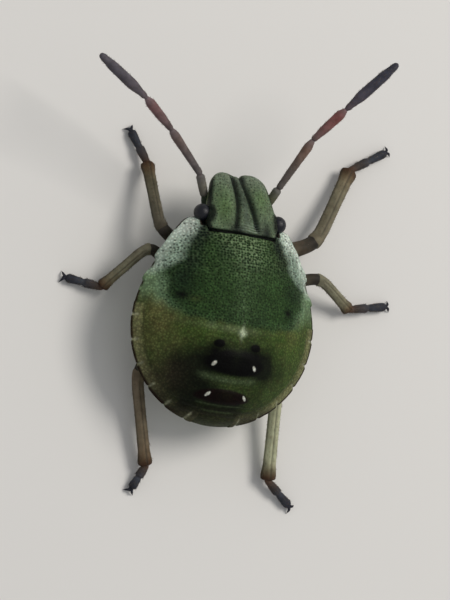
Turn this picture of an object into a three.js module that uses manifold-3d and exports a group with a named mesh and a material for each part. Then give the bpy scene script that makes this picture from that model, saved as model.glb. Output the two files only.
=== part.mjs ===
// Shield bug nymph standing on six feet, as a still life-size model.
// Millimetres, +Z up, the head points along +Y, the feet stand on z = 0.
import * as THREE from 'three';
import { mergeVertices } from 'three/addons/utils/BufferGeometryUtils.js';
import Module from 'manifold-3d';

const wasm = await Module();
wasm.setup();

// Gap between neighbouring pieces
const seam = 0.26;

// Trunk, seen from above: an ellipse behind, two nearly straight flanks in front
const trunk = {
  halfWidth: 3.3,
  rearLength: 3.33,
  widestY: -0.95,
  flankY: 0.65,
  flankBulge: 0.1,
  shoulderY: 2.6,
  shoulderRadius: 0.28,
  rimHeight: 2.23,
  rimSlope: 0.1,
  domeHeight: 1.65,
  domeFall: 0.08,
  bellyDepth: 1.0,
  bellyFall: 0.03,
  crestY: -1.0,
  domePower: 1.05,
  domeFade: 0.38,
  bellyPower: 0.65,
  bellyFade: 0.5,
  segmentGroove: 0.05,
};

// Rim plates of the abdomen, each one segment long
const rimPlate = {
  count: 6,
  firstAngle: -14.7,
  step: 14.7,
  joint: 1.6,
  inner: 0.9,
  outer: 1.015,
  thickness: 0.2,
};

// Dark raised plates on the middle of the abdomen: centre and half size
const backPlates = [
  { y: -1.16, halfWidth: 0.5, halfLength: 0.14, rise: 0.07 },
  { y: -2.2, halfWidth: 1.08, halfLength: 0.62, rise: 0.13 },
  { y: -3.42, halfWidth: 0.92, halfLength: 0.36, rise: 0.13 },
];

// Border lines across the back, as arcs seen from above
const pronotumRear = { midY: 0.8, radius: 9 };
const thoraxRear = { midY: -0.95, radius: 3.67 };
const sideSplit = { below: 0.1 };

// Head, seen from above and from the side
const head = {
  baseY: 2.1,
  tipY: 4.3,
  browY: 2.75,
  baseHalf: 1.22,
  browHalf: 1.3,
  cheekHalf: 0.98,
  topBase: 3.38,
  topTip: 2.16,
  chinBase: 1.75,
  chinTip: 1.7,
  edgePart: 0.75,
  squareness: 0.8,
  bulge: 0.16,
};
const cheekLobe = { x: 0.62, halfWidth: 0.4, from: 2.7, to: 4.38, rise: 0.1 };
const middleLobe = { halfWidth: 0.24, from: 2.45, to: 4.26, rise: 0.12 };
const feelerRoot = { x: 1.02, y: 3.16, z: 2.0, radius: 0.29, length: 0.34 };

const eye = { x: 1.39, y: 2.75, z: 2.66, width: 0.29, length: 0.3, height: 0.3 };

// Feelers: four joints, heading away from +Y and pitch above level, in degrees
const feelerLengths = [0.78, 2.02, 1.52, 2.33];
const feelerThickness = [0.5, 0.5, 0.52, 0.56];
const feelers = {
  left: { side: -1, heading: [27, 51, 56, 63], pitch: [18, 20, 19, 16] },
  right: { side: 1, heading: [18, 24, 37, 38], pitch: [36, 22, 24, 25] },
};

// Beak folded back under the head, between the leg roots
const beak = { startY: 3.72, startZ: 1.22, endY: 0.35, endZ: 0.72, thickness: 0.5 };

// Legs: where the root, knee, ankle and toe of each one are
const legs = {
  left_front: { root: [-0.72, 1.45], knee: [-2.38, 2.2, 1.62], ankle: [-2.7, 4.52], toe: [-3.34, 5.58] },
  right_front: { root: [0.72, 1.45], knee: [3.5, 2.68, 1.0], ankle: [4.85, 5.5], toe: [6.26, 6.4] },
  left_middle: { root: [-0.78, 0.4], knee: [-2.74, 1.4, 1.62], ankle: [-3.88, 0.03], toe: [-5.1, 0.2] },
  right_middle: { root: [0.78, 0.4], knee: [3.62, 1.34, 1.42], ankle: [5.32, 0.63], toe: [6.84, 0.98] },
  left_hind: { root: [-0.84, -0.5], knee: [-2.4, -2.72, 1.0], ankle: [-1.58, -5.78], toe: [-1.92, -6.58] },
  right_hind: { root: [0.84, -0.5], knee: [2.58, -2.3, 1.0], ankle: [2.95, -5.69], toe: [3.94, -6.44] },
};
const femur = { rootWidth: 0.56, middleWidth: 0.62, kneeWidth: 0.52 };
const tibia = { kneeWidth: 0.5, middleWidth: 0.5, ankleWidth: 0.56 };
const foot = { width: 0.5, ankleHeight: 0.42, toeHeight: 0.2, claw: 0.26, clawSpread: 38, clawWidth: 0.2 };
const stub = 0.22;

const colours = {
  thorax: 0x2c4a24,
  abdomen: 0x43602a,
  belly: 0x7d8a58,
  head: 0x4c5a44,
  eye: 0x14161d,
  feeler: [0x5a5a44, 0x4a2620, 0x6a2c22, 0x1d2230],
  leg: 0x55553a,
  foot: 0x23262e,
};

const up = new THREE.Vector3(0, 1, 0);
const vector = (x, y, z) => new THREE.Vector3(x, y, z);
const radians = THREE.MathUtils.degToRad;
const mix = THREE.MathUtils.lerp;

// Closed geometry to solid, with its faces turned outwards
function toSolid(geometry) {
  const bare = geometry.index ? geometry.clone() : geometry;
  bare.deleteAttribute('normal');
  bare.deleteAttribute('uv');
  const merged = mergeVertices(bare, 1e-5);
  const place = merged.attributes.position.array;
  const corners = Uint32Array.from(merged.index.array);
  let volume = 0;
  for (let k = 0; k < corners.length; k += 3) {
    const [a, b, c] = [0, 1, 2].map((n) => new THREE.Vector3().fromArray(place, corners[k + n] * 3));
    volume += a.dot(b.cross(c));
  }
  if (volume < 0) {
    for (let k = 0; k < corners.length; k += 3) {
      [corners[k], corners[k + 1]] = [corners[k + 1], corners[k]];
    }
  }
  return new wasm.Manifold(new wasm.Mesh({
    numProp: 3,
    vertProperties: Float32Array.from(place),
    triVerts: corners,
  }));
}

// Largest closed surface of a solid, as a geometry
function toGeometry(solid) {
  const largest = solid.decompose().sort((a, b) => b.volume() - a.volume())[0];
  const mesh = largest.getMesh();
  const geometry = new THREE.BufferGeometry();
  geometry.setAttribute('position', new THREE.BufferAttribute(Float32Array.from(mesh.vertProperties), 3));
  geometry.setIndex(new THREE.BufferAttribute(Uint32Array.from(mesh.triVerts), 1));
  geometry.computeVertexNormals();
  return geometry;
}

const joined = (solids) => solids.reduce((sum, solid) => sum.add(solid));

// Closed skin through rings: place(ring, angle) gives a point, the first and last ring are single points
function ringSkin(around, rings, place) {
  const geometry = new THREE.SphereGeometry(1, around, rings);
  const position = geometry.attributes.position;
  for (let k = 0; k < position.count; k += 1) {
    const ring = Math.floor(k / (around + 1));
    const step = (k % (around + 1)) % around;
    const point = place(ring, (2 * Math.PI * step) / around);
    position.setXYZ(k, point.x, point.y, point.z);
  }
  return toSolid(geometry);
}

// Ellipsoid with its half sizes, leaning about X, then set at a point
function ellipsoid(halfSize, centre, around, rings, tilt = 0) {
  const geometry = new THREE.SphereGeometry(1, around, rings);
  geometry.scale(halfSize.x, halfSize.y, halfSize.z);
  geometry.rotateX(tilt);
  geometry.translate(centre.x, centre.y, centre.z);
  return toSolid(geometry);
}

// Round limb between two points: stations are [part of the length, diameter]
function limb(from, to, stations, sides) {
  const length = from.distanceTo(to);
  const outline = stations.map(([part, width]) => new THREE.Vector2(width / 2, part * length));
  const profile = [new THREE.Vector2(0, outline[0].y), ...outline, new THREE.Vector2(0, outline.at(-1).y)];
  const geometry = new THREE.LatheGeometry(profile, sides);
  const direction = to.clone().sub(from).normalize();
  geometry.applyQuaternion(new THREE.Quaternion().setFromUnitVectors(up, direction));
  geometry.translate(from.x, from.y, from.z);
  return toSolid(geometry);
}

// Upright disc that cuts the trunk along an arc
function arcCutter(arc, grow, sides) {
  const geometry = new THREE.CylinderGeometry(arc.radius + grow, arc.radius + grow, 12, sides);
  geometry.rotateX(Math.PI / 2);
  geometry.translate(0, arc.midY + arc.radius, 2);
  return toSolid(geometry);
}

// Everything above (or below) a plane that leans as the rim does
function rimCutter(offset, side) {
  const size = 20;
  const geometry = new THREE.BoxGeometry(size, size, size);
  geometry.translate(0, 0, side * size / 2);
  geometry.rotateX(Math.atan(trunk.rimSlope));
  geometry.translate(0, 0, trunk.rimHeight + offset);
  return toSolid(geometry);
}

// Trunk sizes along Y
const rimZ = (y) => trunk.rimHeight + trunk.rimSlope * y;

function ellipseHalf(y) {
  const part = (y - trunk.widestY) / trunk.rearLength;
  return trunk.halfWidth * Math.sqrt(Math.max(0, 1 - part * part));
}

function halfWidthAt(y) {
  if (y <= trunk.flankY) {
    return ellipseHalf(y);
  }
  const start = ellipseHalf(trunk.flankY);
  const slope = (start - ellipseHalf(trunk.flankY - 0.01)) / 0.01;
  const along = (y - trunk.flankY) / (trunk.shoulderY - trunk.flankY);
  const flank = start + slope * (y - trunk.flankY) + trunk.flankBulge * Math.sin(Math.PI * along);
  const intoCorner = Math.max(0, y - trunk.shoulderY + trunk.shoulderRadius);
  const corner = Math.sqrt(Math.max(0, trunk.shoulderRadius ** 2 - intoCorner ** 2));
  return flank - trunk.shoulderRadius + corner;
}

function rearFade(y, power) {
  const part = (y - trunk.crestY) / (trunk.rearLength - 0.05);
  return Math.max(0, 1 - part * part) ** power;
}

function domeAt(y) {
  if (y < trunk.crestY) {
    return trunk.domeHeight * rearFade(y, trunk.domeFade);
  }
  return trunk.domeHeight - trunk.domeFall * (y - trunk.crestY) ** 2;
}

function bellyAt(y) {
  if (y < trunk.crestY) {
    return trunk.bellyDepth * rearFade(y, trunk.bellyFade);
  }
  return trunk.bellyDepth - trunk.bellyFall * (y - trunk.crestY) ** 2;
}

const fromRim = (x, y) => Math.max(0, 1 - (x / halfWidthAt(y)) ** 2);
const backHeight = (x, y) => rimZ(y) + domeAt(y) * fromRim(x, y) ** trunk.domePower;
const bellyHeight = (x, y) => rimZ(y) - bellyAt(y) * fromRim(x, y) ** trunk.bellyPower;

// Rings of the trunk from tail to shoulders, with a shallow groove at each border of the abdomen
function trunkRings() {
  const rings = [];
  const length = 90 / rimPlate.count;
  for (let k = 0; k < rimPlate.count; k += 1) {
    const from = 90 - length * k;
    const border = k === 0 ? [0.05, 0] : [0, trunk.segmentGroove];
    for (const [part, depth] of [border, [0.2, 0], [0.6, 0]]) {
      const angle = radians(from - part * length);
      rings.push({ y: trunk.widestY - trunk.rearLength * Math.sin(angle), depth });
    }
  }
  const front = 9;
  for (let k = 0; k <= front; k += 1) {
    rings.push({ y: mix(trunk.widestY, trunk.shoulderY - trunk.shoulderRadius, k / front), depth: 0 });
  }
  rings.push({ y: trunk.shoulderY - 0.08, depth: 0 });
  rings.push({ y: trunk.shoulderY - 0.001, depth: 0 });
  return rings;
}

function makeTrunk() {
  const rings = trunkRings();
  const around = 40;
  const frontCentre = vector(0, trunk.shoulderY, rimZ(trunk.shoulderY));
  const rearCentre = vector(0, trunk.widestY - trunk.rearLength, rimZ(trunk.widestY - trunk.rearLength));
  return ringSkin(around, rings.length, (ring, angle) => {
    if (ring === 0) {
      return rearCentre;
    }
    if (ring === rings.length) {
      return frontCentre;
    }
    const { y, depth } = rings[ring];
    const x = halfWidthAt(y) * Math.cos(angle);
    if (Math.sin(angle) >= 0) {
      return vector(x, y, backHeight(x, y) - depth * Math.sin(angle));
    }
    return vector(x, y, bellyHeight(x, y) - depth * Math.sin(angle));
  });
}

// One flat plate on the rim, between two angles of the ellipse
function makeRimPlate(side, index) {
  const from = radians(rimPlate.firstAngle + index * rimPlate.step + rimPlate.joint / 2);
  const to = radians(rimPlate.firstAngle + (index + 1) * rimPlate.step - rimPlate.joint / 2);
  const steps = 3;
  const outer = [];
  const inner = [];
  for (let k = 0; k <= steps; k += 1) {
    const angle = mix(from, to, k / steps);
    const x = side * trunk.halfWidth * Math.cos(angle);
    const y = trunk.rearLength * -Math.sin(angle);
    outer.push(new THREE.Vector2(x * rimPlate.outer, trunk.widestY + y * rimPlate.outer));
    inner.unshift(new THREE.Vector2(x * rimPlate.inner, trunk.widestY + y * rimPlate.inner));
  }
  const shape = new THREE.Shape([...outer, ...inner]);
  const geometry = new THREE.ExtrudeGeometry(shape, { depth: rimPlate.thickness, bevelEnabled: false });
  const position = geometry.attributes.position;
  for (let k = 0; k < position.count; k += 1) {
    const z = position.getZ(k) - rimPlate.thickness / 2 + rimZ(position.getY(k));
    position.setZ(k, z);
  }
  return toSolid(geometry);
}

function makeBackPlate(plate) {
  const slope = (backHeight(0, plate.y + 0.2) - backHeight(0, plate.y - 0.2)) / 0.4;
  const half = vector(plate.halfWidth, plate.halfLength, 0.2);
  const centre = vector(0, plate.y, backHeight(0, plate.y) + plate.rise - half.z);
  return ellipsoid(half, centre, 20, 8, Math.atan(slope));
}

// Head sizes along Y, from its base to its tip
function headRing(y, grow) {
  const part = (y - head.browY) / (head.tipY - head.browY);
  const along = (y - head.baseY) / (head.tipY - head.baseY);
  const behind = mix(head.baseHalf, head.browHalf, (y - head.baseY) / (head.browY - head.baseY));
  const half = part < 0 ? behind : mix(head.browHalf, head.cheekHalf, part ** 0.8);
  const top = mix(head.topBase, head.topTip, along) + head.bulge * Math.sin(Math.PI * along);
  const chin = mix(head.chinBase, head.chinTip, along);
  return { half: half + grow, top: top + grow, chin: chin - grow };
}

function makeHeadCore(grow, around) {
  const round = 0.22;
  const start = head.baseY - grow;
  const end = head.tipY + grow;
  const stations = [
    [start, 0.86], [start + 0.12, 0.96], [mix(start, end, 0.2), 1], [mix(start, end, 0.36), 1],
    [mix(start, end, 0.52), 1], [mix(start, end, 0.68), 1], [mix(start, end, 0.82), 1],
    [end - round, 1], [end - round * 0.4, 0.93], [end, 0.74],
  ];
  return ringSkin(around, stations.length + 1, (ring, angle) => {
    const [y, scale] = stations[THREE.MathUtils.clamp(ring - 1, 0, stations.length - 1)];
    const { half, top, chin } = headRing(THREE.MathUtils.clamp(y, head.baseY, head.tipY), grow);
    const middle = mix(chin, top, head.edgePart);
    if (ring === 0 || ring > stations.length) {
      return vector(0, y, middle);
    }
    const sine = Math.sin(angle);
    const reach = sine > 0 ? top - middle : middle - chin;
    const flat = Math.sign(sine) * Math.abs(sine) ** head.squareness;
    const wide = Math.sign(Math.cos(angle)) * Math.abs(Math.cos(angle)) ** head.squareness;
    return vector(half * scale * wide, y, middle + reach * scale * flat);
  });
}

// Long rounded lobe that lies on the sloping top of the head
function headLobe(x, lobe, around) {
  const y = (lobe.from + lobe.to) / 2;
  const low = headRing(lobe.to, 0).top;
  const high = headRing(lobe.from, 0).top;
  const slope = (low - high) / (lobe.to - lobe.from);
  const half = vector(lobe.halfWidth, (lobe.to - lobe.from) / 2 / Math.cos(Math.atan(slope)), 0.3);
  const drop = 0.16 * (x / head.cheekHalf) ** 2;
  const centre = vector(x, y, headRing(y, 0).top + lobe.rise - half.z - drop);
  return ellipsoid(half, centre, around, 10, Math.atan(slope));
}

function eyeSolid(side, grow) {
  const half = vector(eye.width + grow, eye.length + grow, eye.height + grow);
  return ellipsoid(half, vector(side * eye.x, eye.y, eye.z), 14, 9);
}

// Direction from a heading away from +Y and a pitch above level
function aim(side, heading, pitch) {
  const turn = radians(heading);
  const rise = radians(pitch);
  return vector(side * Math.sin(turn) * Math.cos(rise), Math.cos(turn) * Math.cos(rise), Math.sin(rise));
}

function feelerPath(feeler) {
  const first = aim(feeler.side, feeler.heading[0], feeler.pitch[0]);
  const root = vector(feeler.side * feelerRoot.x, feelerRoot.y, feelerRoot.z);
  const points = [root.clone().addScaledVector(first, feelerRoot.length)];
  feelerLengths.forEach((length, index) => {
    const step = aim(feeler.side, feeler.heading[index], feeler.pitch[index]);
    points.push(points.at(-1).clone().addScaledVector(step, length));
  });
  return { root, points };
}

function makeHead() {
  const pieces = [makeHeadCore(0, 28)];
  for (const side of [-1, 1]) {
    pieces.push(headLobe(side * cheekLobe.x, cheekLobe, 14));
    const { root, points } = feelerPath(side < 0 ? feelers.left : feelers.right);
    const width = feelerRoot.radius * 2;
    pieces.push(limb(root, points[0], [[-0.6, width * 0.8], [0.2, width], [1, width * 0.85]], 10));
  }
  pieces.push(headLobe(0, middleLobe, 12));
  return joined(pieces).subtract(eyeSolid(-1, seam)).subtract(eyeSolid(1, seam));
}

// One feeler joint: spindle with a flat end at each side of the gap
function makeFeelerJoint(from, to, width, last) {
  const length = from.distanceTo(to);
  const start = seam / length;
  const stations = last
    ? [[start, 0.46], [start + 0.12, width], [0.55, width], [0.85, width * 0.8], [1, 0.16]]
    : [[start, width * 0.92], [0.5, width], [1, width]];
  return limb(from, to, stations, 10);
}

function makeBeak() {
  const start = vector(0, beak.startY, beak.startZ);
  const end = vector(0, beak.endY, beak.endZ);
  const width = beak.thickness;
  const stations = [[0, width], [0.3, width * 1.05], [0.7, width], [0.93, width * 0.8], [1, 0.2]];
  const body = limb(start, end, stations, 8);
  const lip = limb(vector(0, beak.startY + 0.05, head.chinTip - seam), start, [[0, width], [1, width]], 8);
  const knuckle = ellipsoid(vector(width / 2, width / 2, width / 2), start, 10, 6);
  return joined([body, lip, knuckle]);
}

function legPoints(leg) {
  const [rootX, rootY] = leg.root;
  const root = vector(rootX, rootY, bellyHeight(rootX, rootY) - seam);
  const hip = vector(rootX, rootY, root.z - 0.36);
  const knee = vector(...leg.knee);
  const ankle = vector(leg.ankle[0], leg.ankle[1], foot.ankleHeight);
  const toe = vector(leg.toe[0], leg.toe[1], foot.toeHeight);
  return { root, hip, knee, ankle, toe };
}

const along = (from, to, distance) => {
  const direction = to.clone().sub(from).normalize();
  return from.clone().addScaledVector(direction, distance);
};
const ball = (centre, width) => ellipsoid(vector(width / 2, width / 2, width / 2), centre, 8, 5);

function makeFemur(points) {
  const { root, hip, knee, ankle } = points;
  return joined([
    limb(root, hip, [[0, femur.rootWidth * 1.1], [1, femur.rootWidth]], 8),
    ball(hip, femur.rootWidth),
    limb(hip, knee, [[0, femur.rootWidth * 0.8], [0.25, femur.middleWidth], [0.65, femur.middleWidth],
      [1, femur.kneeWidth]], 8),
    ball(knee, femur.kneeWidth),
    limb(knee, along(knee, ankle, stub), [[0, tibia.kneeWidth * 0.9], [1, tibia.kneeWidth]], 8),
  ]);
}

function makeTibia(points) {
  const { knee, ankle } = points;
  const from = along(knee, ankle, stub + seam);
  const to = along(ankle, knee, stub);
  return limb(from, to, [[0, tibia.kneeWidth], [0.4, tibia.middleWidth], [0.85, tibia.middleWidth],
    [0.95, tibia.ankleWidth], [1, tibia.ankleWidth]], 8);
}

function makeFoot(points) {
  const { knee, ankle, toe } = points;
  const start = along(ankle, knee, stub - seam);
  const middle = ankle.clone().lerp(toe, 0.5);
  const pieces = [
    limb(start, ankle, [[0, foot.width], [1, foot.width]], 8),
    ball(ankle, foot.width),
    limb(ankle, middle, [[0, foot.width * 0.9], [0.9, foot.width * 1.05], [1, foot.width * 0.9]], 8),
    limb(middle, toe, [[-0.05, foot.width * 0.8], [0.1, foot.width * 0.95], [0.9, foot.width * 1.05],
      [1, foot.width * 0.8]], 8),
  ];
  const direction = toe.clone().sub(ankle).setZ(0).normalize();
  for (const side of [-1, 1]) {
    const turned = direction.clone().applyAxisAngle(vector(0, 0, 1), side * radians(foot.clawSpread));
    const root = along(toe, ankle, 0.08).setZ(foot.toeHeight);
    const tip = toe.clone().addScaledVector(turned, foot.claw).setZ(foot.clawWidth * 0.5);
    const stations = [[0, foot.clawWidth * 1.3], [0.5, foot.clawWidth], [1, foot.clawWidth * 0.4]];
    pieces.push(limb(root, tip, stations, 5));
  }
  const floor = new THREE.BoxGeometry(30, 30, 4);
  floor.translate(0, 0, -2);
  return joined(pieces).subtract(toSolid(floor));
}

// Pieces and their names
const bug = new THREE.Group();

function addPiece(name, solid, colour, roughness) {
  const material = new THREE.MeshStandardMaterial({ color: colour, roughness, metalness: 0 });
  const mesh = new THREE.Mesh(toGeometry(solid), material);
  mesh.name = name;
  bug.add(mesh);
}

function addTrunk() {
  const whole = makeTrunk().subtract(makeHeadCore(seam, 28));
  const thorax = whole.intersect(arcCutter(thoraxRear, 0, 64));
  const back = thorax.intersect(rimCutter(-sideSplit.below, 1));
  const underside = thorax.intersect(rimCutter(-sideSplit.below - seam, -1));
  addPiece('pronotum', back.intersect(arcCutter(pronotumRear, 0, 180)), colours.thorax, 0.5);
  addPiece('mesonotum', back.subtract(arcCutter(pronotumRear, seam, 180)), colours.thorax, 0.5);
  addPiece('thorax_underside', underside, colours.belly, 0.55);

  const plates = backPlates.map(makeBackPlate);
  for (const side of [-1, 1]) {
    for (let k = 0; k < rimPlate.count; k += 1) {
      plates.push(makeRimPlate(side, k));
    }
  }
  const abdomen = joined([whole, ...plates]).subtract(arcCutter(thoraxRear, seam, 64));
  addPiece('abdomen', abdomen, colours.abdomen, 0.5);
}

function addHead() {
  addPiece('head', makeHead(), colours.head, 0.55);
  addPiece('eye_left', eyeSolid(-1, 0), colours.eye, 0.2);
  addPiece('eye_right', eyeSolid(1, 0), colours.eye, 0.2);
  addPiece('rostrum', makeBeak(), colours.leg, 0.5);
}

function addFeelers() {
  for (const [name, feeler] of Object.entries(feelers)) {
    const { points } = feelerPath(feeler);
    feelerLengths.forEach((length, index) => {
      const last = index === feelerLengths.length - 1;
      const joint = makeFeelerJoint(points[index], points[index + 1], feelerThickness[index], last);
      addPiece(`antenna_${name}_${index + 1}`, joint, colours.feeler[index], 0.5);
    });
  }
}

function addLegs() {
  for (const [name, leg] of Object.entries(legs)) {
    const points = legPoints(leg);
    addPiece(`femur_${name}`, makeFemur(points), colours.leg, 0.5);
    addPiece(`tibia_${name}`, makeTibia(points), colours.leg, 0.5);
    addPiece(`tarsus_${name}`, makeFoot(points), colours.foot, 0.5);
  }
}

addTrunk();
addHead();
addFeelers();
addLegs();

// Origin under the middle of the whole bug, on the floor
const extent = new THREE.Box3().setFromObject(bug);
const middle = extent.getCenter(new THREE.Vector3());
bug.position.set(-middle.x, -middle.y, -extent.min.z);
bug.updateMatrixWorld(true);

export default bug;
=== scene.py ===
# %% [markdown]
# # Shield bug nymph
# A young shield bug stands on six feet on a pale floor. It is a still, life-size model, 8.5 mm long from the
# front of the head to the tip of the abdomen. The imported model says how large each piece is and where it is,
# and this lesson gives every piece its fine surface and its finish.
# All shapes are worked out in millimetres in the bug's own frame: the head points along +Y, +X is its right
# side, +Z is up and the feet stand on z = 0.

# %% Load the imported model
import math
from types import SimpleNamespace

import bpy
import numpy as np
from mathutils import Matrix, Vector, kdtree


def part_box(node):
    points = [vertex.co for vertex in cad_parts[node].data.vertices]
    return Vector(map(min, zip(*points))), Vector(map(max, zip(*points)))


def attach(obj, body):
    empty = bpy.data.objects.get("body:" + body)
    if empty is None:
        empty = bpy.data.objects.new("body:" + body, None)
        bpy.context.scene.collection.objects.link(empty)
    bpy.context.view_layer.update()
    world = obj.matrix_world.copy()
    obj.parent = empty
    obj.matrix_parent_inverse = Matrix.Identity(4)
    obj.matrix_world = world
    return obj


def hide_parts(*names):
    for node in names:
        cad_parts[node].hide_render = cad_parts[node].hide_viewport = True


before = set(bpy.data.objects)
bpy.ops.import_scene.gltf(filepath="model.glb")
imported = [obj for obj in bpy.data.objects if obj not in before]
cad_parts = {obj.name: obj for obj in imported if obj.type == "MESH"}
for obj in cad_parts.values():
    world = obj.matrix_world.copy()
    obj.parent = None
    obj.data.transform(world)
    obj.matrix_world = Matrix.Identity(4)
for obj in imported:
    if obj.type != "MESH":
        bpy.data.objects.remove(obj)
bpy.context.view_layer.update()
print("nodes in the packed model:", len(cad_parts))

# %% [markdown]
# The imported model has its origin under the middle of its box, legs and feelers included. The bug's own frame
# has x = 0 on its midline, so the two frames differ by a shift. The abdomen is symmetric and its tip is a
# known place, so its box gives that shift.

# %% From the bug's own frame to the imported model
MM = 0.001
tail_y = -4.28
abdomen_low, abdomen_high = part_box("abdomen")
shift = np.array([(abdomen_low.x + abdomen_high.x) / 2, abdomen_low.y - tail_y * MM, 0.0])


def to_scene(points):
    """Millimetres in the bug's own frame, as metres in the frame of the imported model"""
    return np.asarray(points, float) * MM + shift


print("shift in mm:", np.round(shift / MM, 3))

# %% [markdown]
# Most skins here are a stack of closed rings, joined ring to ring and closed by a fan at both ends. One
# helper makes such a mesh from an array of points, and another lists the values that paint it. The paint is
# a set of masks, numbers from 0 to 1 kept on the vertices, which the materials read.

# %% Mesh helpers


def ring_faces(rings, columns):
    """Faces between closed rings, with a fan to one more point at the start and one at the end"""
    column = np.arange(columns)
    after = (column + 1) % columns
    row = np.arange(rings - 1)[:, None] * columns
    quads = np.stack([row + column, row + after, row + columns + after, row + columns + column], axis=-1)
    first, end = rings * columns, (rings - 1) * columns
    start_fan = np.stack([np.full(columns, first), after, column], axis=-1)
    end_fan = np.stack([end + column, end + after, np.full(columns, first + 1)], axis=-1)
    return quads.reshape(-1, 4).tolist() + start_fan.tolist() + end_fan.tolist()


def ring_skin(grid):
    """Points and faces of a closed skin through a grid of points, ring by ring"""
    caps = [grid[0].mean(axis=0), grid[-1].mean(axis=0)]
    return np.vstack([grid.reshape(-1, 3), caps]), ring_faces(*grid.shape[:2])


def cap_values(values):
    """A mask over a grid of rings, with the two cap points added"""
    return np.concatenate([values.ravel(), [values[0].mean(), values[-1].mean()]])


def add_piece(name, points, faces, slot, replaced=(), masks=None):
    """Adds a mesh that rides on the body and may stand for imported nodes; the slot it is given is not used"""
    mesh = bpy.data.meshes.new(name)
    mesh.from_pydata(to_scene(points).tolist(), [], faces)
    mesh.update()
    if signed_volume(mesh) < 0:
        mesh.flip_normals()
    mesh.shade_smooth()
    for mask, values in (masks or {}).items():
        attribute = mesh.attributes.new(mask, "FLOAT", "POINT")
        attribute.data.foreach_set("value", np.clip(values, 0, 1).astype(np.float32))
    piece = bpy.data.objects.new(name, mesh)
    bpy.context.scene.collection.objects.link(piece)
    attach(piece, "root")
    if replaced:
        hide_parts(*replaced)
    print(f"{name}: {len(mesh.polygons)} faces")
    return piece


def signed_volume(mesh):
    """Volume inside the mesh, negative where its faces look inwards"""
    mesh.calc_loop_triangles()
    points = np.empty(len(mesh.vertices) * 3)
    mesh.vertices.foreach_get("co", points)
    corners = np.empty(len(mesh.loop_triangles) * 3, np.int32)
    mesh.loop_triangles.foreach_get("vertices", corners)
    a, b, c = points.reshape(-1, 3)[corners.reshape(-1, 3)].transpose(1, 0, 2)
    return float((a * np.cross(b, c)).sum() / 6)


def grid_normals(grid, top_row, top_column):
    """Unit normals of a grid of closed rings, turned so that the one named place faces up"""
    across = np.roll(grid, -1, axis=1) - np.roll(grid, 1, axis=1)
    normals = np.cross(across, np.gradient(grid, axis=0))
    normals = normals / np.maximum(np.linalg.norm(normals, axis=-1, keepdims=True), 1e-12)
    return normals if normals[top_row, top_column, 2] > 0 else -normals


def smoothstep(low, high, value):
    """Eases from 0 at low to 1 at high"""
    part = np.clip((value - low) / (high - low), 0, 1)
    return part * part * (3 - 2 * part)


def bump(value, centre, width):
    """A soft hump, 1 at its centre and near 0 one width away"""
    return np.exp(-((value - centre) / width) ** 2 * 2)


def blot(x, y, centre, size):
    """A soft oval patch, 1 at its centre"""
    return np.exp(-((x - centre[0]) / size[0]) ** 2 - ((y - centre[1]) / size[1]) ** 2)


def patches(x, y, rows):
    """Soft oval patches added up: each row is a strength, a centre x and y, and a half width and length"""
    return sum(strength * blot(x, y, (at_x, at_y), (wide, long)) for strength, at_x, at_y, wide, long in rows)


# %% [markdown]
# Cuticle is never even. Two kinds of random pattern cover it: soft clouds for uneven colour and swelling, and
# scattered pits. A pit grid puts one point in each cell of a square grid, away from the cell's centre, and
# the distance from each vertex to its nearest point then gives round pits that never form rows. Every draw
# has its own seed, so each run gives the same bug.

# %% Random clouds and scattered pits


def cloud(x, y, size, seed):
    """Soft random values from 0 to 1, in patches about size millimetres across"""
    table = np.random.default_rng(seed).random((128, 128))
    u, v = x / size + 50, y / size + 50
    column, row = np.floor(u).astype(int), np.floor(v).astype(int)
    part_u, part_v = smoothstep(0, 1, u - column), smoothstep(0, 1, v - row)
    column, row = column % 127, row % 127
    near = table[row, column] * (1 - part_u) + table[row, column + 1] * part_u
    far = table[row + 1, column] * (1 - part_u) + table[row + 1, column + 1] * part_u
    return near * (1 - part_v) + far * part_v


def pits(x, y, spacing, seed):
    """Distance in millimetres to the nearest pit, and a random value that belongs to that pit"""
    table = np.random.default_rng(seed).random((256, 256, 3))
    column = np.floor(x / spacing).astype(int)
    row = np.floor(y / spacing).astype(int)
    nearest = np.full(x.shape, 1e9)
    value = np.zeros(x.shape)
    for step_row in (-1, 0, 1):
        for step_column in (-1, 0, 1):
            cell_row, cell_column = row + step_row, column + step_column
            draw = table[cell_row % 256, cell_column % 256]
            pit_x = (cell_column + 0.15 + 0.7 * draw[..., 0]) * spacing
            pit_y = (cell_row + 0.15 + 0.7 * draw[..., 1]) * spacing
            distance = np.hypot(x - pit_x, y - pit_y)
            closer = distance < nearest
            value = np.where(closer, draw[..., 2], value)
            nearest = np.where(closer, distance, nearest)
    return nearest, value


# %% [markdown]
# ## Trunk
# Pronotum, mesonotum with the wing pads, and abdomen are hard plates with soft joint skin between them. They
# could be separate shells, but at this size their borders are only grooves and low steps, so one skin covers
# the whole trunk and no gap can show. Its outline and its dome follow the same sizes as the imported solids.

# %% Trunk sizes and heights
trunk = SimpleNamespace(
    half_width=3.3, rear_length=3.33, widest_y=-0.95, flank_y=0.65, flank_bulge=0.1, shoulder_y=2.6,
    shoulder_radius=0.28, rim_height=2.23, rim_slope=0.1, dome_height=1.65, dome_fall=0.08,
    belly_depth=1.0, belly_fall=0.03, crest_y=-1.0)
pronotum_front = SimpleNamespace(behind_head=2.13, eye_step=0.2, corner_step=0.27)
pronotum_rear = SimpleNamespace(mid_y=0.8, radius=9.0)


def rim_z(y):
    """Height of the rim"""
    return trunk.rim_height + trunk.rim_slope * y


def ellipse_half(y):
    """Half width of the abdomen's oval"""
    part = (y - trunk.widest_y) / trunk.rear_length
    return trunk.half_width * np.sqrt(np.clip(1 - part * part, 0, None))


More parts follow.
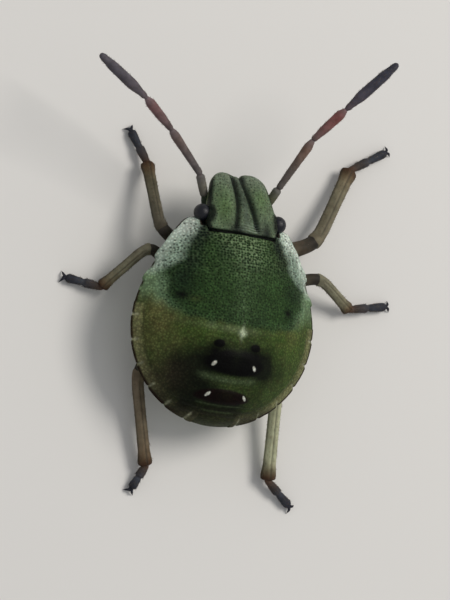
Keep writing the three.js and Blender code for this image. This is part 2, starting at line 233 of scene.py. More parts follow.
def half_width_at(y):
    """Half width of the whole trunk: oval behind, bulging flanks in front, and round shoulders"""
    y = np.asarray(y, float)
    start = ellipse_half(trunk.flank_y)
    slope = (start - ellipse_half(trunk.flank_y - 0.01)) / 0.01
    along = np.clip((y - trunk.flank_y) / (trunk.shoulder_y - trunk.flank_y), 0, 1)
    flank = start + slope * (y - trunk.flank_y) + trunk.flank_bulge * np.sin(np.pi * along)
    into_corner = np.clip(y - trunk.shoulder_y + trunk.shoulder_radius, 0, trunk.shoulder_radius)
    corner = np.sqrt(trunk.shoulder_radius ** 2 - into_corner ** 2)
    return np.where(y <= trunk.flank_y, ellipse_half(y), flank - trunk.shoulder_radius + corner)


def rear_fade(y, power):
    """Fall from 1 at the crest to 0 at the tail"""
    part = (y - trunk.crest_y) / (trunk.rear_length - 0.05)
    return np.clip(1 - part * part, 0, None) ** power


def dome_at(y):
    front = trunk.dome_height - trunk.dome_fall * (y - trunk.crest_y) ** 2
    return np.where(y < trunk.crest_y, trunk.dome_height * rear_fade(y, 0.38), front)


def belly_at(y):
    front = trunk.belly_depth - trunk.belly_fall * (y - trunk.crest_y) ** 2
    return np.where(y < trunk.crest_y, trunk.belly_depth * rear_fade(y, 0.5), front)


def back_height(part, y):
    """Height of the back, with part from -1 at the left rim to 1 at the right rim"""
    return rim_z(y) + dome_at(y) * np.clip(1 - part ** 2, 0, None) ** 1.05


def belly_height(part, y):
    return rim_z(y) - belly_at(y) * np.clip(1 - part ** 2, 0, None) ** 0.65


print("top of the back in mm:", round(float(back_height(0, trunk.crest_y)), 2))

# %% [markdown]
# The rings of the trunk run from the tail to the shoulders. Each ring has many even steps over the back,
# where the fine pits are, and fewer steps under the belly. In front the pronotum is hollowed to take the
# head, so its rings end on a curved front edge, and the last few rings fold inwards into the neck.

# %% Trunk skin
back_columns = 270
belly_columns = 90
tail_rows = 215
front_rows = 200
last_ring_angle = 89.3


def front_edge(part):
    """Where the pronotum ends in front: behind the head, behind the eyes, and at its two corners"""
    side = np.abs(part)
    return (pronotum_front.behind_head + pronotum_front.eye_step * smoothstep(0.54, 0.64, side)
            + pronotum_front.corner_step * smoothstep(0.68, 0.84, side))


def trunk_grid():
    """Place across, place along, height and side of every point of the trunk's skin"""
    over = np.linspace(1, -1, back_columns)
    under = -np.cos(np.linspace(0, np.pi, belly_columns + 2))[1:-1]
    part = np.concatenate([over, under])[None, :]
    on_back = (np.arange(part.shape[1]) < back_columns)[None, :]
    tail = np.radians(np.linspace(last_ring_angle, 0, tail_rows))
    rear_y = (trunk.widest_y - trunk.rear_length * np.sin(tail))[:, None] + 0 * part
    run = np.sin(np.linspace(0, np.pi / 2, front_rows))[1:, None]
    front_y = trunk.widest_y + run * (front_edge(part) - trunk.widest_y)
    y = np.vstack([rear_y, front_y])
    part = part + 0 * y
    height = np.where(on_back, back_height(part, y), belly_height(part, y))
    return part, y, height, on_back + 0 * y > 0


part, y, height, on_back = trunk_grid()
x = part * half_width_at(y)
print("trunk rings and columns:", x.shape)

# %% [markdown]
# Relief comes next. Distances are worked out on the trunk as seen from above: how far a point is from the
# rim, from the border between the plates, and from each segment joint. The abdomen's segments end on the rim
# at even angles round its oval, and the real joints show there as notches and as shallow grooves over the
# back.

# %% Places on the trunk
rim_plates = SimpleNamespace(count=6, first_angle=-14.7, step=14.7)
pads = SimpleNamespace(half_width=2.7, front_y=1.2, rear_y=-1.0, squareness=4, scale=2.3)
rim_distance = half_width_at(y) - np.abs(x)
pronotum_arc = pronotum_rear.mid_y + pronotum_rear.radius - np.sqrt(pronotum_rear.radius ** 2 - x ** 2)
pronotum_border = y - pronotum_arc
behind_front = np.clip(pads.front_y - y, 0, None) / (pads.front_y - pads.rear_y)
pad_reach = (np.abs(x) / pads.half_width) ** pads.squareness + behind_front ** pads.squareness
pad_distance = (1 - pad_reach ** (1 / pads.squareness)) * pads.scale
oval = np.hypot(x / trunk.half_width, (y - trunk.widest_y) / trunk.rear_length)
rim_angle = np.degrees(np.arctan2(-(y - trunk.widest_y) / trunk.rear_length, np.abs(x) / trunk.half_width))
on_pronotum = smoothstep(-0.02, 0.02, pronotum_border)
on_thorax = np.maximum(smoothstep(-0.02, 0.02, pad_distance), on_pronotum)
segment = (rim_angle - rim_plates.first_angle) / rim_plates.step
joint_distance = np.abs(segment - np.round(segment)) * rim_plates.step
past_joint = segment - np.floor(segment)
is_segmented = (segment > 0.5) & (segment < rim_plates.count + 0.3)
groove_line = np.where(is_segmented, joint_distance * trunk.half_width * np.pi / 180, 1.0)
joint_line = np.exp(-(groove_line / 0.045) ** 2)
broad_joint = np.exp(-(groove_line / 0.05) ** 2)
print("share of the trunk skin on the thorax:", round(float(on_thorax.mean()), 2))

# %% Pits and the pale side margins
pit, pit_value = pits(x, y * 1.1, spacing=0.1, seed=3)
fine_pit, fine_value = pits(x, y, spacing=0.09, seed=4)
drift = cloud(x, y, size=0.25, seed=6) - 0.5
right_margin_factor = 1.15
margin_stations = np.array([(0.5, 0.3), (0.8, 0.55), (1.1, 0.72), (1.5, 0.64), (2.0, 0.6), (2.5, 0.52)])
margin_width = np.interp(y, *margin_stations.T) * np.where(x > 0, right_margin_factor, 1.0)
margin = smoothstep(0.2, -0.2, rim_distance - margin_width + 0.05 * drift)
margin = margin * np.interp(y, [0.35, 0.75, 1.2, 2.3], [0.0, 0.7, 0.8, 1.0])
pit_size = (0.022 + 0.016 * pit_value) * (1 + 0.1 * (margin > 0.4))
thorax_pit = smoothstep(1.2, 0.5, pit / pit_size) * on_thorax
inner_margin = smoothstep(0.15, 0.5, rim_distance)
thorax_pit = thorax_pit * np.where(margin > 0.4, pit_value > 0.8 - 0.5 * inner_margin, pit_value > 0.1)
abdomen_pit = smoothstep(1.0, 0.4, fine_pit / 0.02) * (fine_value > 0.4) * (1 - on_thorax)
print("share of the back under pits:", round(float(np.maximum(thorax_pit, abdomen_pit)[on_back].mean()), 3))

# %% [markdown]
# The middle of the abdomen carries raised plates with the openings of the scent glands. The first is a small,
# low, pale swelling just behind the thorax. The next two are large and black, and a pale band of soft joint
# skin lies between them.

# %% Raised plates, grooves and steps
plates = [
    SimpleNamespace(x=0.0, y=-1.17, half_x=0.5, half_y=0.13, rise=0.015),
    SimpleNamespace(x=0.02, y=-2.26, half_x=1.1, half_y=0.42, rise=0.07),
    SimpleNamespace(x=-0.13, y=-3.37, half_x=0.97, half_y=0.24, rise=0.06),
]


def plate_reach(plate):
    return np.hypot((x - plate.x) / plate.half_x, (y - plate.y) / plate.half_y)


def plate_shape(plate):
    return smoothstep(1.12, 0.85, plate_reach(plate))


swelling = cloud(x, y, size=0.35, seed=5) - 0.5
shoulder = np.hypot(np.abs(x) - 1.95, (y - 0.35) * 0.8)
fold_width = 0.17
folds = np.sin(shoulder * 2 * np.pi / fold_width + 5 * cloud(x, y, size=0.6, seed=14))
folds = folds * bump(shoulder, 0.45, 0.35) * on_thorax
relief = -0.016 * thorax_pit - 0.008 * abdomen_pit + 0.0025 * folds
relief += swelling * (0.014 * on_thorax + 0.012)
relief -= 0.01 * bump(pronotum_border, -0.02, 0.05)
relief += 0.035 * smoothstep(-0.1, 0.1, pad_distance) * smoothstep(1.1, 0.2, pad_distance)
for plate in plates:
    relief += plate.rise * smoothstep(1.3, 0.5, plate_reach(plate))
knobs = [(0.03, 0.655, -1.68, 0.2, 0.16), (0.02, 0.7, -2.33, 0.12, 0.1), (0.02, 0.65, -3.32, 0.12, 0.09)]
relief += patches(np.abs(x), y, knobs)
relief -= 0.018 * joint_line * smoothstep(0.87, 0.95, oval) * (1 - on_thorax)
relief -= 0.02 * bump(oval, 0.915, 0.02) * (1 - on_thorax) * is_segmented
back_folds = ((-1.45, 0.008), (-2.72, 0.014), (-2.98, 0.014), (-3.7, 0.02), (-3.86, 0.016), (-4.02, 0.014))
for fold_y, depth in back_folds:
    fold_arc = y - (fold_y + 0.06 * x ** 2)
    relief -= depth * bump(fold_arc, 0, 0.05) * smoothstep(2.6, 1.0, np.abs(x)) * (1 - on_thorax)
relief += 0.02 * bump(rim_distance, 0.05, 0.06) * on_thorax
relief -= 0.03 * bump(front_edge(part) - y, 0.0, 0.06)
print("relief from", round(float(relief.min()), 3), "to", round(float(relief.max()), 3), "mm")

# %% Underside of the trunk
leg_root_y = SimpleNamespace(front=1.45, middle=0.4, hind=-0.5)
belly_relief = -0.03 * broad_joint * smoothstep(0.2, 0.5, oval) * (y < 0.2)
belly_relief = belly_relief - 0.05 * bump(x, 0, 0.08) * smoothstep(-1.4, -0.8, y)
for root_y in vars(leg_root_y).values():
    belly_relief += 0.08 * blot(np.abs(x), y, (1.45, root_y), (0.5, 0.3))
relief = np.where(on_back, relief, belly_relief * smoothstep(0.0, 0.25, rim_distance))

notch = 0.035 * broad_joint + 0.02 * np.where(is_segmented, past_joint, 0)
corner_step = 0.07 * smoothstep(0.98, 1.06, y) * smoothstep(1.6, 1.1, y)
corner_step += 0.06 * smoothstep(0.2, 0.27, y) * smoothstep(0.75, 0.4, y)
outward = (0.03 - notch) * (y < 0.1) * is_segmented + corner_step
outward = outward * smoothstep(0.3, 0.0, rim_distance)
print("rim moves from", round(float(outward.min()), 3), "to", round(float(outward.max()), 3), "mm")

# %% Build the trunk skin
grid = np.stack([x, y, height], axis=-1)
normals = grid_normals(grid, len(grid) // 2, back_columns // 2)
sideways = normals * (1, 1, 0)
sideways /= np.maximum(np.linalg.norm(sideways, axis=-1, keepdims=True), 1e-9)
grid = grid + normals * relief[..., None] + sideways * outward[..., None]
neck_point = np.array([0.0, 1.9, 2.55])
neck_shares = (0.985, 0.95, 0.86, 0.7, 0.45, 0.2)
neck = np.stack([neck_point + (grid[-1] - neck_point) * share for share in neck_shares])
trunk_points, trunk_faces = ring_skin(np.concatenate([grid, neck]))


def trunk_mask(values, in_neck=None):
    """A mask over the trunk, carried on into the neck by its last ring unless the neck has its own value"""
    values = np.asarray(values, float) + 0 * x
    last = values[-1:] if in_neck is None else in_neck + 0 * values[-1:]
    return cap_values(np.vstack([values] + [last] * len(neck_shares)))


# %% [markdown]
# The marks are painted as masks too. Each is worked out from its place on the back: soft ovals for the dark
# clouds, distances from the rim for the pale margins and the black dashes, and thin arcs for the pale bands.

# %% Marks on the thorax
front_distance = front_edge(part) - y
edge_distance = np.minimum(rim_distance, front_distance)
thorax_green = np.maximum(smoothstep(-0.14, 0.16, pad_distance + 0.25 * drift), smoothstep(0.6, 1.0, y))
pad_edge = bump(pad_distance + 0.15 * drift, -0.02, 0.26) * smoothstep(-1.1, 0.2, y)
beyond_pad = smoothstep(0.1, -0.1, pad_distance) * smoothstep(-0.7, 0.2, y)
pad_edge = np.maximum(pad_edge, 0.85 * beyond_pad) * smoothstep(1.05, 0.6, y)
# Painted shade: near black along the front edge of the pronotum behind the head and on into the neck, where
# the head sits in its hollow
crease = smoothstep(0.05, 0.015, front_distance) * smoothstep(1.5, 1.3, np.abs(x))
rim_frost = np.where(x > 0, 0.8, 0.55) * bump(rim_distance, 0.1, 0.25)
frost = margin * np.clip(blot(np.abs(x), y, (1.85, 2.3), (0.35, 0.45)) + rim_frost, 0, 1)
outline = smoothstep(0.06, 0.03, edge_distance) * smoothstep(1.95, 2.15, y) * smoothstep(1.3, 1.4, np.abs(x))
print("greatest strength of the pale pad edge:", round(float(pad_edge.max()), 2))

# %% Wrinkles and spots on the thorax
collar = bump(front_distance, 0.1, 0.06) * smoothstep(1.35, 1.0, np.abs(x)) * (0.5 + drift)
wave = cloud(x * 0.55 + 0.2 * np.sin(y * 9), y * 2.6, size=0.16, seed=7)
wave_line = smoothstep(0.14, 0.02, np.abs(wave - 0.5))
pit_net = smoothstep(0.035, 0.06, pit)
wrinkle = patches(x, y, [(1, 0.12, 1.6, 0.65, 0.55), (0.5, -0.2, 1.95, 1.1, 0.22)])
wrinkle = wrinkle * (0.45 * wave_line + 0.8 * pit_net)
wrinkle = wrinkle + 0.3 * pit_net * smoothstep(0.0, 1.5, y) * cloud(x, y, size=0.6, seed=11)
wrinkle = np.clip(wrinkle + 0.7 * collar, 0, 1)
midline = np.maximum(bump(x, 0.0, 0.09), 0.5 * bump(x, 0.0, 0.5)) * (0.3 + 0.7 * wave_line)
midline = midline * smoothstep(-0.95, -0.6, y) * smoothstep(2.0, 1.4, y)
# The dark sides of the thorax: partly the bug's own dark green, partly painted shade along the inner side of
# the pale margins
dark_sides_and_shade = patches(x, y, [
    (0.7, -1.6, 1.6, 0.3, 0.6), (0.4, 1.3, 1.3, 0.5, 0.7), (0.5, -1.85, 1.0, 0.4, 0.3),
    (0.6, -1.95, 0.5, 0.5, 0.65), (0.6, 2.05, 0.55, 0.45, 0.75), (0.6, 1.45, 1.9, 0.3, 0.4),
    (0.2, 0.3, 1.1, 0.9, 0.3), (-0.3, 0.2, 0.3, 1.1, 0.6), (0.3, -0.6, 1.4, 0.5, 0.3)])
# Painted shade beside the neck under each eye, and the hollows between the folds painted darker and their
# ridges lighter, as painted shade
dark_sides_and_shade = dark_sides_and_shade + 1.2 * blot(np.abs(x), y, (1.34, 2.15), (0.22, 0.33)) - 0.08 * folds
dark_sides_and_shade = np.clip(dark_sides_and_shade + 0.55 * (cloud(x, y, size=0.4, seed=8) - 0.45), 0, 1) * on_thorax
side_spot = patches(x, y, [(1, -2.0, -0.2, 0.2, 0.13), (1, 1.83, -0.28, 0.13, 0.12)])
earth = patches(x, y, [(0.6, -1.6, -0.29, 0.25, 0.1), (0.35, 1.5, 1.7, 0.5, 0.6)])
print("share of the back under dusk:", round(float(dark_sides_and_shade[on_back].mean()), 2))

# %% Marks on the abdomen
rim_gap = np.where(y < trunk.flank_y, (1 - oval) * trunk.half_width, rim_distance)
joint_mark = joint_line * smoothstep(0.935, 0.965, oval) * is_segmented
pad_dash = bump(y, 0.8, 0.22) + bump(y, 0.12, 0.16)
rim_dash = smoothstep(0.075, 0.035, rim_gap) * np.clip((y < -0.12) + pad_dash, 0, 1)
rim_dash = np.maximum(rim_dash * smoothstep(-4.2, -3.7, y) * (1 - joint_mark), outline)
rim_strip = smoothstep(0.88, 0.97, oval) * (1 - on_thorax) * is_segmented
rim_strip = rim_strip * (0.5 + 0.9 * cloud(x, y, size=0.25, seed=12))
rim_strip = np.clip(rim_strip * np.where(x > 0, 1.5, 1.0), 0, 1)
abdomen = 1 - thorax_green
ochre = patches(x, y, [(1, -2.6, -1.0, 0.7, 1.3), (0.5, 2.2, -1.0, 0.6, 0.4)])
ochre = np.clip(ochre + 0.5 * (cloud(x, y, size=0.2, seed=10) - 0.5), 0, 1) * abdomen
fresh = np.clip(patches(x, y, [(1, 2.2, -1.0, 0.9, 0.9), (0.7, -1.3, -1.25, 0.9, 0.3)]), 0, 1) * abdomen
shade = patches(x, y, [
    (0.95, -1.5, -2.6, 0.75, 0.65), (0.6, -1.5, -3.3, 1.1, 0.6), (1.1, 0.2, -2.15, 1.5, 0.65),
    (0.5, 1.25, -2.35, 0.5, 0.5), (0.6, 0.3, -3.5, 1.6, 0.65)]) + 0.45 * smoothstep(-3.2, -4.0, y)
shade = np.clip(shade + 0.3 * (cloud(x, y, size=0.4, seed=9) - 0.45), 0, 1) * abdomen
russet = 0.7 * blot(x, y, (-2.3, -3.0), (0.7, 0.9)) + 0.3 * smoothstep(-3.6, -4.1, y)
russet = np.clip(russet, 0, 1) * abdomen
band_arc = y + 1.15 - 0.03 * x ** 2
band = bump(band_arc, 0, 0.2) * np.exp(-((x + 0.5) / 1.2) ** 2)
band = np.clip(0.9 * band * (0.7 + 0.6 * drift), 0, 1)
bright = np.clip(patches(x, y, [(1, 0.1, -1.24, 0.13, 0.1), (0.7, 0.08, -1.22, 0.05, 0.22)]), 0, 1)
print("share of the back under the dark cloud:", round(float(shade[on_back].mean()), 2))

# %% Marks on the scent gland plates
dots = smoothstep(1.15, 0.75, np.hypot((np.abs(x) - 0.655) / 0.21, (y + 1.68) / 0.15))
links = np.clip(blot(np.abs(x), y, (0.75, -1.95), (0.32, 0.28)), 0, 1)
grey_middle = patches(x, y, [(1, 0.05, -1.78, 0.24, 0.3), (0.3, 0.0, -2.2, 0.12, 0.3)])
plate_black = np.clip(np.maximum(dots, np.maximum(links, plate_shape(plates[1]))) - 0.85 * grey_middle, 0, 1)
plate_maroon = np.clip(plate_shape(plates[2]) * (0.9 + 0.2 * np.abs(x + 0.1)), 0, 1)


def opening_mark_and_glint(middle_x, out, at_y, lean, half_width, half_length=0.1):
    """White marks on the two openings of a gland, partly painted highlights of the glossy knobs there, small
    ovals that lean outwards
    """
    beside, ahead = np.sign(x) * (x - middle_x) - out, y - at_y
    across = (beside * lean[0] + ahead * lean[1]) / half_width
    along = (ahead * lean[0] - beside * lean[1]) / half_length
    return smoothstep(1.2, 0.7, np.hypot(across, along))


# The white marks are partly the pale openings and partly painted highlights on the raised knobs there
white_and_glint = np.maximum(opening_mark_and_glint(0.0, 0.71, -2.33, (0.8, 0.6), 0.055),
                   opening_mark_and_glint(-0.02, 0.65, -3.32, (0.7, 0.7), 0.045))
pale_arc = y + 2.85 - 0.12 * (x + 0.05) ** 2
joint_skin = bump(pale_arc, 0, 0.15) * smoothstep(1.2, 0.8, np.abs(x + 0.1)) * (0.85 + 0.5 * drift)
for arc_y, reach_x, weight in ((-3.68, 0.65, 0.75), (-3.88, 0.4, 0.5)):
    thin_arc = y - arc_y - 0.09 * (x + 0.1) ** 2
    line = weight * bump(thin_arc, 0, 0.04) * smoothstep(reach_x + 0.3, reach_x, np.abs(x + 0.1))
    joint_skin = np.maximum(joint_skin, line)
print("share of the back under black plates:", round(float(plate_black[on_back].mean()), 3))

# %% Marks of the underside
under = np.where(on_back, 0.0, smoothstep(0.05, 0.3, rim_distance))
breathing_hole = np.exp(-((oval - 0.74) / 0.02) ** 2 - ((past_joint - 0.5) / 0.1) ** 2)
breathing_hole = breathing_hole * is_segmented * (y < 0) * ~on_back
print("joints between segments along each side of the rim:", rim_plates.count)

# %% Build the trunk skin with its marks
back_marks = {
    "thorax": thorax_green, "fresh": fresh, "ochre": ochre, "shade": shade, "dark_sides_and_shade": dark_sides_and_shade, "margin": margin,
    "pad_edge": pad_edge, "russet": russet, "earth": earth, "frost": frost, "wrinkle": wrinkle,
    "midline": midline, "side_spot": side_spot, "band": band, "bright": bright, "rim_strip": rim_strip,
    "joint_skin": joint_skin, "plate_black": plate_black, "plate_maroon": plate_maroon, "white_and_glint": white_and_glint,
    "rim_dash": rim_dash, "joint_mark": joint_mark, "pit": np.maximum(thorax_pit, 0.55 * abdomen_pit),
}
trunk_masks = {name: trunk_mask(values * on_back) for name, values in back_marks.items()}
trunk_masks["crease"] = trunk_mask(crease * on_back, in_neck=1.0)
trunk_masks["belly"] = trunk_mask(under)
trunk_masks["breathing_hole"] = trunk_mask(breathing_hole)
trunk_skin = add_piece("trunk_skin", trunk_points, trunk_faces, "abdomen_cuticle",
                       ("pronotum", "mesonotum", "thorax_underside", "abdomen"), trunk_masks)

# %% [markdown]
# ## Head
# The head is a flattened box that narrows forward. Two cheek lobes run to its front, with a narrow middle
# lobe between them, and a groove on each side of that. The skin is again a stack of rings, this time from
# the neck to the front edge. The front edge curves with the lobes, so each ring ends where its own lobe
# ends.

# %% Head sizes
eye = SimpleNamespace(x=1.39, y=2.75, z=2.66, width=0.29, length=0.3, height=0.3)
head = SimpleNamespace(
    base_y=2.1, tip_y=4.3, brow_y=2.75, base_half=1.22, brow_half=1.3, cheek_half=0.98, top_base=3.38,
    top_tip=2.16, chin_base=1.75, chin_tip=1.7, edge_part=0.75)
head_rows = 130
head_columns = 360


def head_size(y):
    """Half width, top and chin of the head at a place along it"""
    at = np.clip(y, head.base_y, head.tip_y)
    forward = np.clip((at - head.brow_y) / (head.tip_y - head.brow_y), 0, 1)
    along = (at - head.base_y) / (head.tip_y - head.base_y)
    behind = np.clip((at - head.base_y) / (head.brow_y - head.base_y), 0, 1)
    half = np.where(at < head.brow_y,
                    head.base_half + (head.brow_half - head.base_half) * behind,
                    head.brow_half + (head.cheek_half - head.brow_half) * forward ** 0.8)
    top = head.top_base + (head.top_tip - head.top_base) * along + 0.16 * np.sin(np.pi * along)
    chin = head.chin_base + (head.chin_tip - head.chin_base) * along
    return half, top, chin


def head_front(part):
    """Front edge of the head: two round cheek lobes, the middle lobe between them and round corners"""
    notches = bump(part, -0.27, 0.09) + bump(part, 0.05, 0.08) + smoothstep(0.24, 0.12, np.abs(part + 0.11))
    lobes = 4.33 + 0.03 * smoothstep(0.1, 0.3, part) - 0.07 * notches
    corner = np.clip((np.abs(part) - 0.42) / 0.58, 0, 1)
    return lobes - 0.5 * (1 - np.sqrt(1 - 0.98 * corner ** 2.4))


head_roundness = 0.8
curl_rows = 26
straight_share = 0.88
angle = np.linspace(0, 2 * np.pi, head_columns, endpoint=False)[None, :]
wide = np.sign(np.cos(angle)) * np.abs(np.cos(angle)) ** head_roundness
tall = np.sign(np.sin(angle)) * np.abs(np.sin(angle)) ** head_roundness
straight = np.linspace(0, straight_share, head_rows - curl_rows, endpoint=False)
curl = np.radians(np.linspace(0, 87, curl_rows))
run = np.concatenate([straight, straight_share + (1 - straight_share) * np.sin(curl)])[:, None]
closing = np.concatenate([np.ones(len(straight)), np.cos(curl)])[:, None]
neck_y = 1.98
head_y = neck_y + run * (head_front(wide) - neck_y)
half, top, chin = head_size(head_y)
middle = chin + (top - chin) * head.edge_part
waist = 0.86 + 0.14 * smoothstep(neck_y, 2.3, head_y)
head_x = half * wide * waist
reach = np.where(tall > 0, top - middle, middle - chin)
head_z = middle + reach * tall * waist * closing
over_head = smoothstep(0.05, 0.5, tall + 0 * head_y)
print("head rings and columns:", head_y.shape)

# %% Lobes, grooves and pits of the head
middle_x = np.interp(head_y, [2.2, 3.25, 4.0, 4.3], [0.06, 0.0, -0.09, -0.11])
groove_x = np.interp(head_y, [2.1, 2.5, 3.25, 4.0, 4.3], [0.46, 0.36, 0.23, 0.165, 0.16])
beside = np.abs(head_x - middle_x)
groove = bump(beside, groove_x, 0.12) * smoothstep(2.2, 2.5, head_y)
cheek = bump(beside, 0.62, 0.5) * smoothstep(2.3, 3.0, head_y)
central = bump(beside, 0.0, 0.2) * smoothstep(2.3, 2.8, head_y) * smoothstep(4.35, 3.6, head_y)
eye_ring = np.exp(-((np.hypot((np.abs(head_x) - eye.x), (head_y - eye.y)) - 0.3) / 0.09) ** 2)
head_pit, head_value = pits(head_x, head_y, spacing=0.095, seed=11)
head_pits = smoothstep(1.15, 0.5, head_pit / (0.015 + 0.012 * head_value)) * (head_value > 0.3)
head_cloud = cloud(head_x, head_y, size=0.3, seed=13)
ripple_width = 0.095
ripple = np.sin(head_y * 2 * np.pi / ripple_width + 4 * cloud(head_x, head_y, size=0.3, seed=12))
ripple_area = bump(head_x, 0.2, 0.45) * bump(head_y, 2.36, 0.3)
head_relief = 0.12 * cheek + 0.03 * central - 0.12 * groove - 0.014 * head_pits + 0.012 * ripple * ripple_area
head_relief += 0.025 * (head_cloud - 0.5) + 0.05 * eye_ring
head_relief -= 0.09 * smoothstep(2.24, 2.12, head_y)
head_relief *= over_head
print("head relief from", round(float(head_relief.min()), 3), "to", round(float(head_relief.max()), 3), "mm")
head_grid = np.stack([head_x, head_y, head_z], axis=-1)
head_normals = grid_normals(head_grid, head_rows // 2, head_columns // 4)
head_grid = head_grid + head_normals * (head_relief * closing)[..., None]
head_points, head_faces = ring_skin(head_grid)

# %% [markdown]
# Limbs, feelers, beak and claws are all tubes that swell and narrow along a bent path. One sweep serves them
# all: it takes a path, the half width along it, and a function that shapes the section, such as the grooves
# along a shin.

# %% Sweep a section along a path


def bent_path(corners, steps, rounds):
    """Even steps along straight stretches, with the corners then rounded by averaging"""
    corners = np.asarray(corners, float)
    lengths = np.linalg.norm(np.diff(corners, axis=0), axis=1)
    reached = np.concatenate([[0], np.cumsum(lengths)])
    at = np.linspace(0, reached[-1], steps)
    path = np.stack([np.interp(at, reached, corners[:, axis]) for axis in range(3)], axis=1)
    for _ in range(rounds):
        path[1:-1] = (path[:-2] + 2 * path[1:-1] + path[2:]) / 4
    return path


def profile(parts, stations):
    """Half width along a limb: stations are (part of the length, half width), eased between"""
    places = np.array([station[0] for station in stations])
    sizes = np.array([station[1] for station in stations])
    index = np.clip(np.searchsorted(places, parts, side="right") - 1, 0, len(places) - 2)
    share = np.clip((parts - places[index]) / (places[index + 1] - places[index]), 0, 1)
    return sizes[index] + (sizes[index + 1] - sizes[index]) * share * share * (3 - 2 * share)


def sweep(path, widths, columns, flatness=1.0, section=None):
    """Grid of rings along a path; section gives a factor for each angle and part of the length"""
    along = np.gradient(path, axis=0)
    along /= np.linalg.norm(along, axis=1, keepdims=True)
    side = np.cross(along, (0.0, 0.0, 1.0))
    side /= np.maximum(np.linalg.norm(side, axis=1, keepdims=True), 1e-9)
    above = np.cross(side, along)
    turn = np.linspace(0, 2 * np.pi, columns, endpoint=False)
    parts = np.linspace(0, 1, len(path))[:, None]
    factor = 1.0 if section is None else section(turn[None, :], parts)
    out = widths[:, None] * factor + 0 * turn
    return (path[:, None, :]
            + side[:, None, :] * (out * np.cos(turn))[..., None]
            + above[:, None, :] * (out * flatness * np.sin(turn))[..., None])


def join_skins(skins):
    """Several closed skins as one list of points and faces"""
    points, faces, start = [], [], 0
    for skin_points, skin_faces in skins:
        points.append(skin_points)
        faces.extend([[corner + start for corner in face] for face in skin_faces])
        start += len(skin_points)
    return np.vstack(points), faces


def round_end(parts, length, radius):
    """Factor that closes a limb to a round end at both sides"""
    near = np.clip(parts * length / radius, 0, 1)
    far = np.clip((1 - parts) * length / radius, 0, 1)
    return np.sqrt(1 - (1 - near) ** 2) * np.sqrt(1 - (1 - far) ** 2)


def path_length(path):
    return np.linalg.norm(np.diff(path, axis=0), axis=1).sum()


def rounded_widths(path, stations, radius, size=1.0, thinnest=0.06):
    """Half widths along a path, from its stations, with a round end at both sides"""
    parts = np.linspace(0, 1, len(path))
    return size * profile(parts, stations) * round_end(parts, path_length(path), radius).clip(thinnest, 1)


def along_mask(rings, columns):
    """How far along a limb each vertex is"""
    return cap_values(np.repeat(np.linspace(0, 1, rings)[:, None], columns, axis=1))


# %% [markdown]
# ## Feelers
# Each feeler has four joints: a short thick one out of a socket under the edge of the head, a long thin one,
# a shorter one that swells towards its tip, and a dark spindle. They narrow to a neck where they meet. Each
# joint is a piece of its own with its own colour, as on the real feeler.

# %% Feeler paths
feeler_root = SimpleNamespace(x=1.02, y=3.16, z=2.0, length=0.34)
feeler_lengths = [0.78, 2.02, 1.52, 2.33]
feelers = {
    "left": SimpleNamespace(side=-1, heading=[27, 51, 56, 63], pitch=[18, 20, 19, 16], dull=0.8),
    "right": SimpleNamespace(side=1, heading=[18, 24, 37, 38], pitch=[36, 22, 24, 25], dull=0.0),
}


def aim(side, heading, pitch):
    """Direction of a feeler's joint: its heading away from the midline and its rise, in degrees"""
    turn, rise = math.radians(heading), math.radians(pitch)
    return np.array([side * math.sin(turn) * math.cos(rise), math.cos(turn) * math.cos(rise), math.sin(rise)])


def feeler_points(feeler):
    root = np.array([feeler.side * feeler_root.x, feeler_root.y, feeler_root.z])
    points = [root + aim(feeler.side, feeler.heading[0], feeler.pitch[0]) * feeler_root.length]
    for length, heading, pitch in zip(feeler_lengths, feeler.heading, feeler.pitch):
        points.append(points[-1] + aim(feeler.side, heading, pitch) * length)
    return root, points


# %% Build the feelers
feeler_slots = ["feeler_olive", "feeler_brown", "feeler_red", "feeler_dark"]
feeler_profiles = [
    [(0, 0.1), (0.12, 0.14), (0.5, 0.15), (0.85, 0.15), (1, 0.1)],
    [(0, 0.08), (0.06, 0.115), (0.5, 0.135), (0.84, 0.155), (1, 0.09)],
    [(0, 0.07), (0.08, 0.11), (0.45, 0.155), (0.8, 0.165), (1, 0.085)],
    [(0, 0.065), (0.08, 0.11), (0.35, 0.185), (0.7, 0.175), (0.92, 0.125), (1, 0.085)],
]
feeler_hairs = [40, 180, 240, 420]
feeler_hair_length = 0.07
feeler_overlap = 0.07
feeler_rings, feeler_columns = 60, 28
socket_rings, socket_columns = 12, 24
feeler_skins = {}
feeler_tubes = {}
sockets = []
for name, feeler in feelers.items():
    root, points = feeler_points(feeler)
    socket = bent_path([root - (points[0] - root) * 0.5, points[0]], socket_rings, 0)
    widths = profile(np.linspace(0, 1, socket_rings), [(0, 0.17), (0.5, 0.15), (1, 0.11)])
    sockets.append(ring_skin(sweep(socket, widths, socket_columns)))
    for index in range(4):
        step = points[index + 1] - points[index]
        length = np.linalg.norm(step)
        start = points[index] - step / length * feeler_overlap
        parts = np.linspace(0, 1, feeler_rings)
        path = bent_path([start, points[index + 1]], feeler_rings, 0)
        widths = profile(parts, feeler_profiles[index]) * round_end(parts, length, 0.07).clip(0.15, 1)
        tube = sweep(path, widths, feeler_columns)
        node, slot = f"antenna_{name}_{index + 1}", feeler_slots[index]
        along = along_mask(feeler_rings, feeler_columns)
        masks = {"along": along, "dull": 0 * along + feeler.dull}
        feeler_skins[(name, index)] = add_piece(f"{node}_skin", *ring_skin(tube), slot, (node,), masks)
        feeler_tubes[f"feeler_{name}_{index + 1}"] = (tube, slot, feeler_hairs[index], feeler_hair_length)

# %% Build the head skin
head_all = join_skins([(head_points, head_faces)] + sockets)
extra = len(head_all[0]) - len(head_points)


def head_mask(values, on_sockets=0.0):
    """A mask over the head, with one value on the sockets of the feelers"""
    return np.concatenate([cap_values(values + 0 * head_y), np.full(extra, on_sockets)])
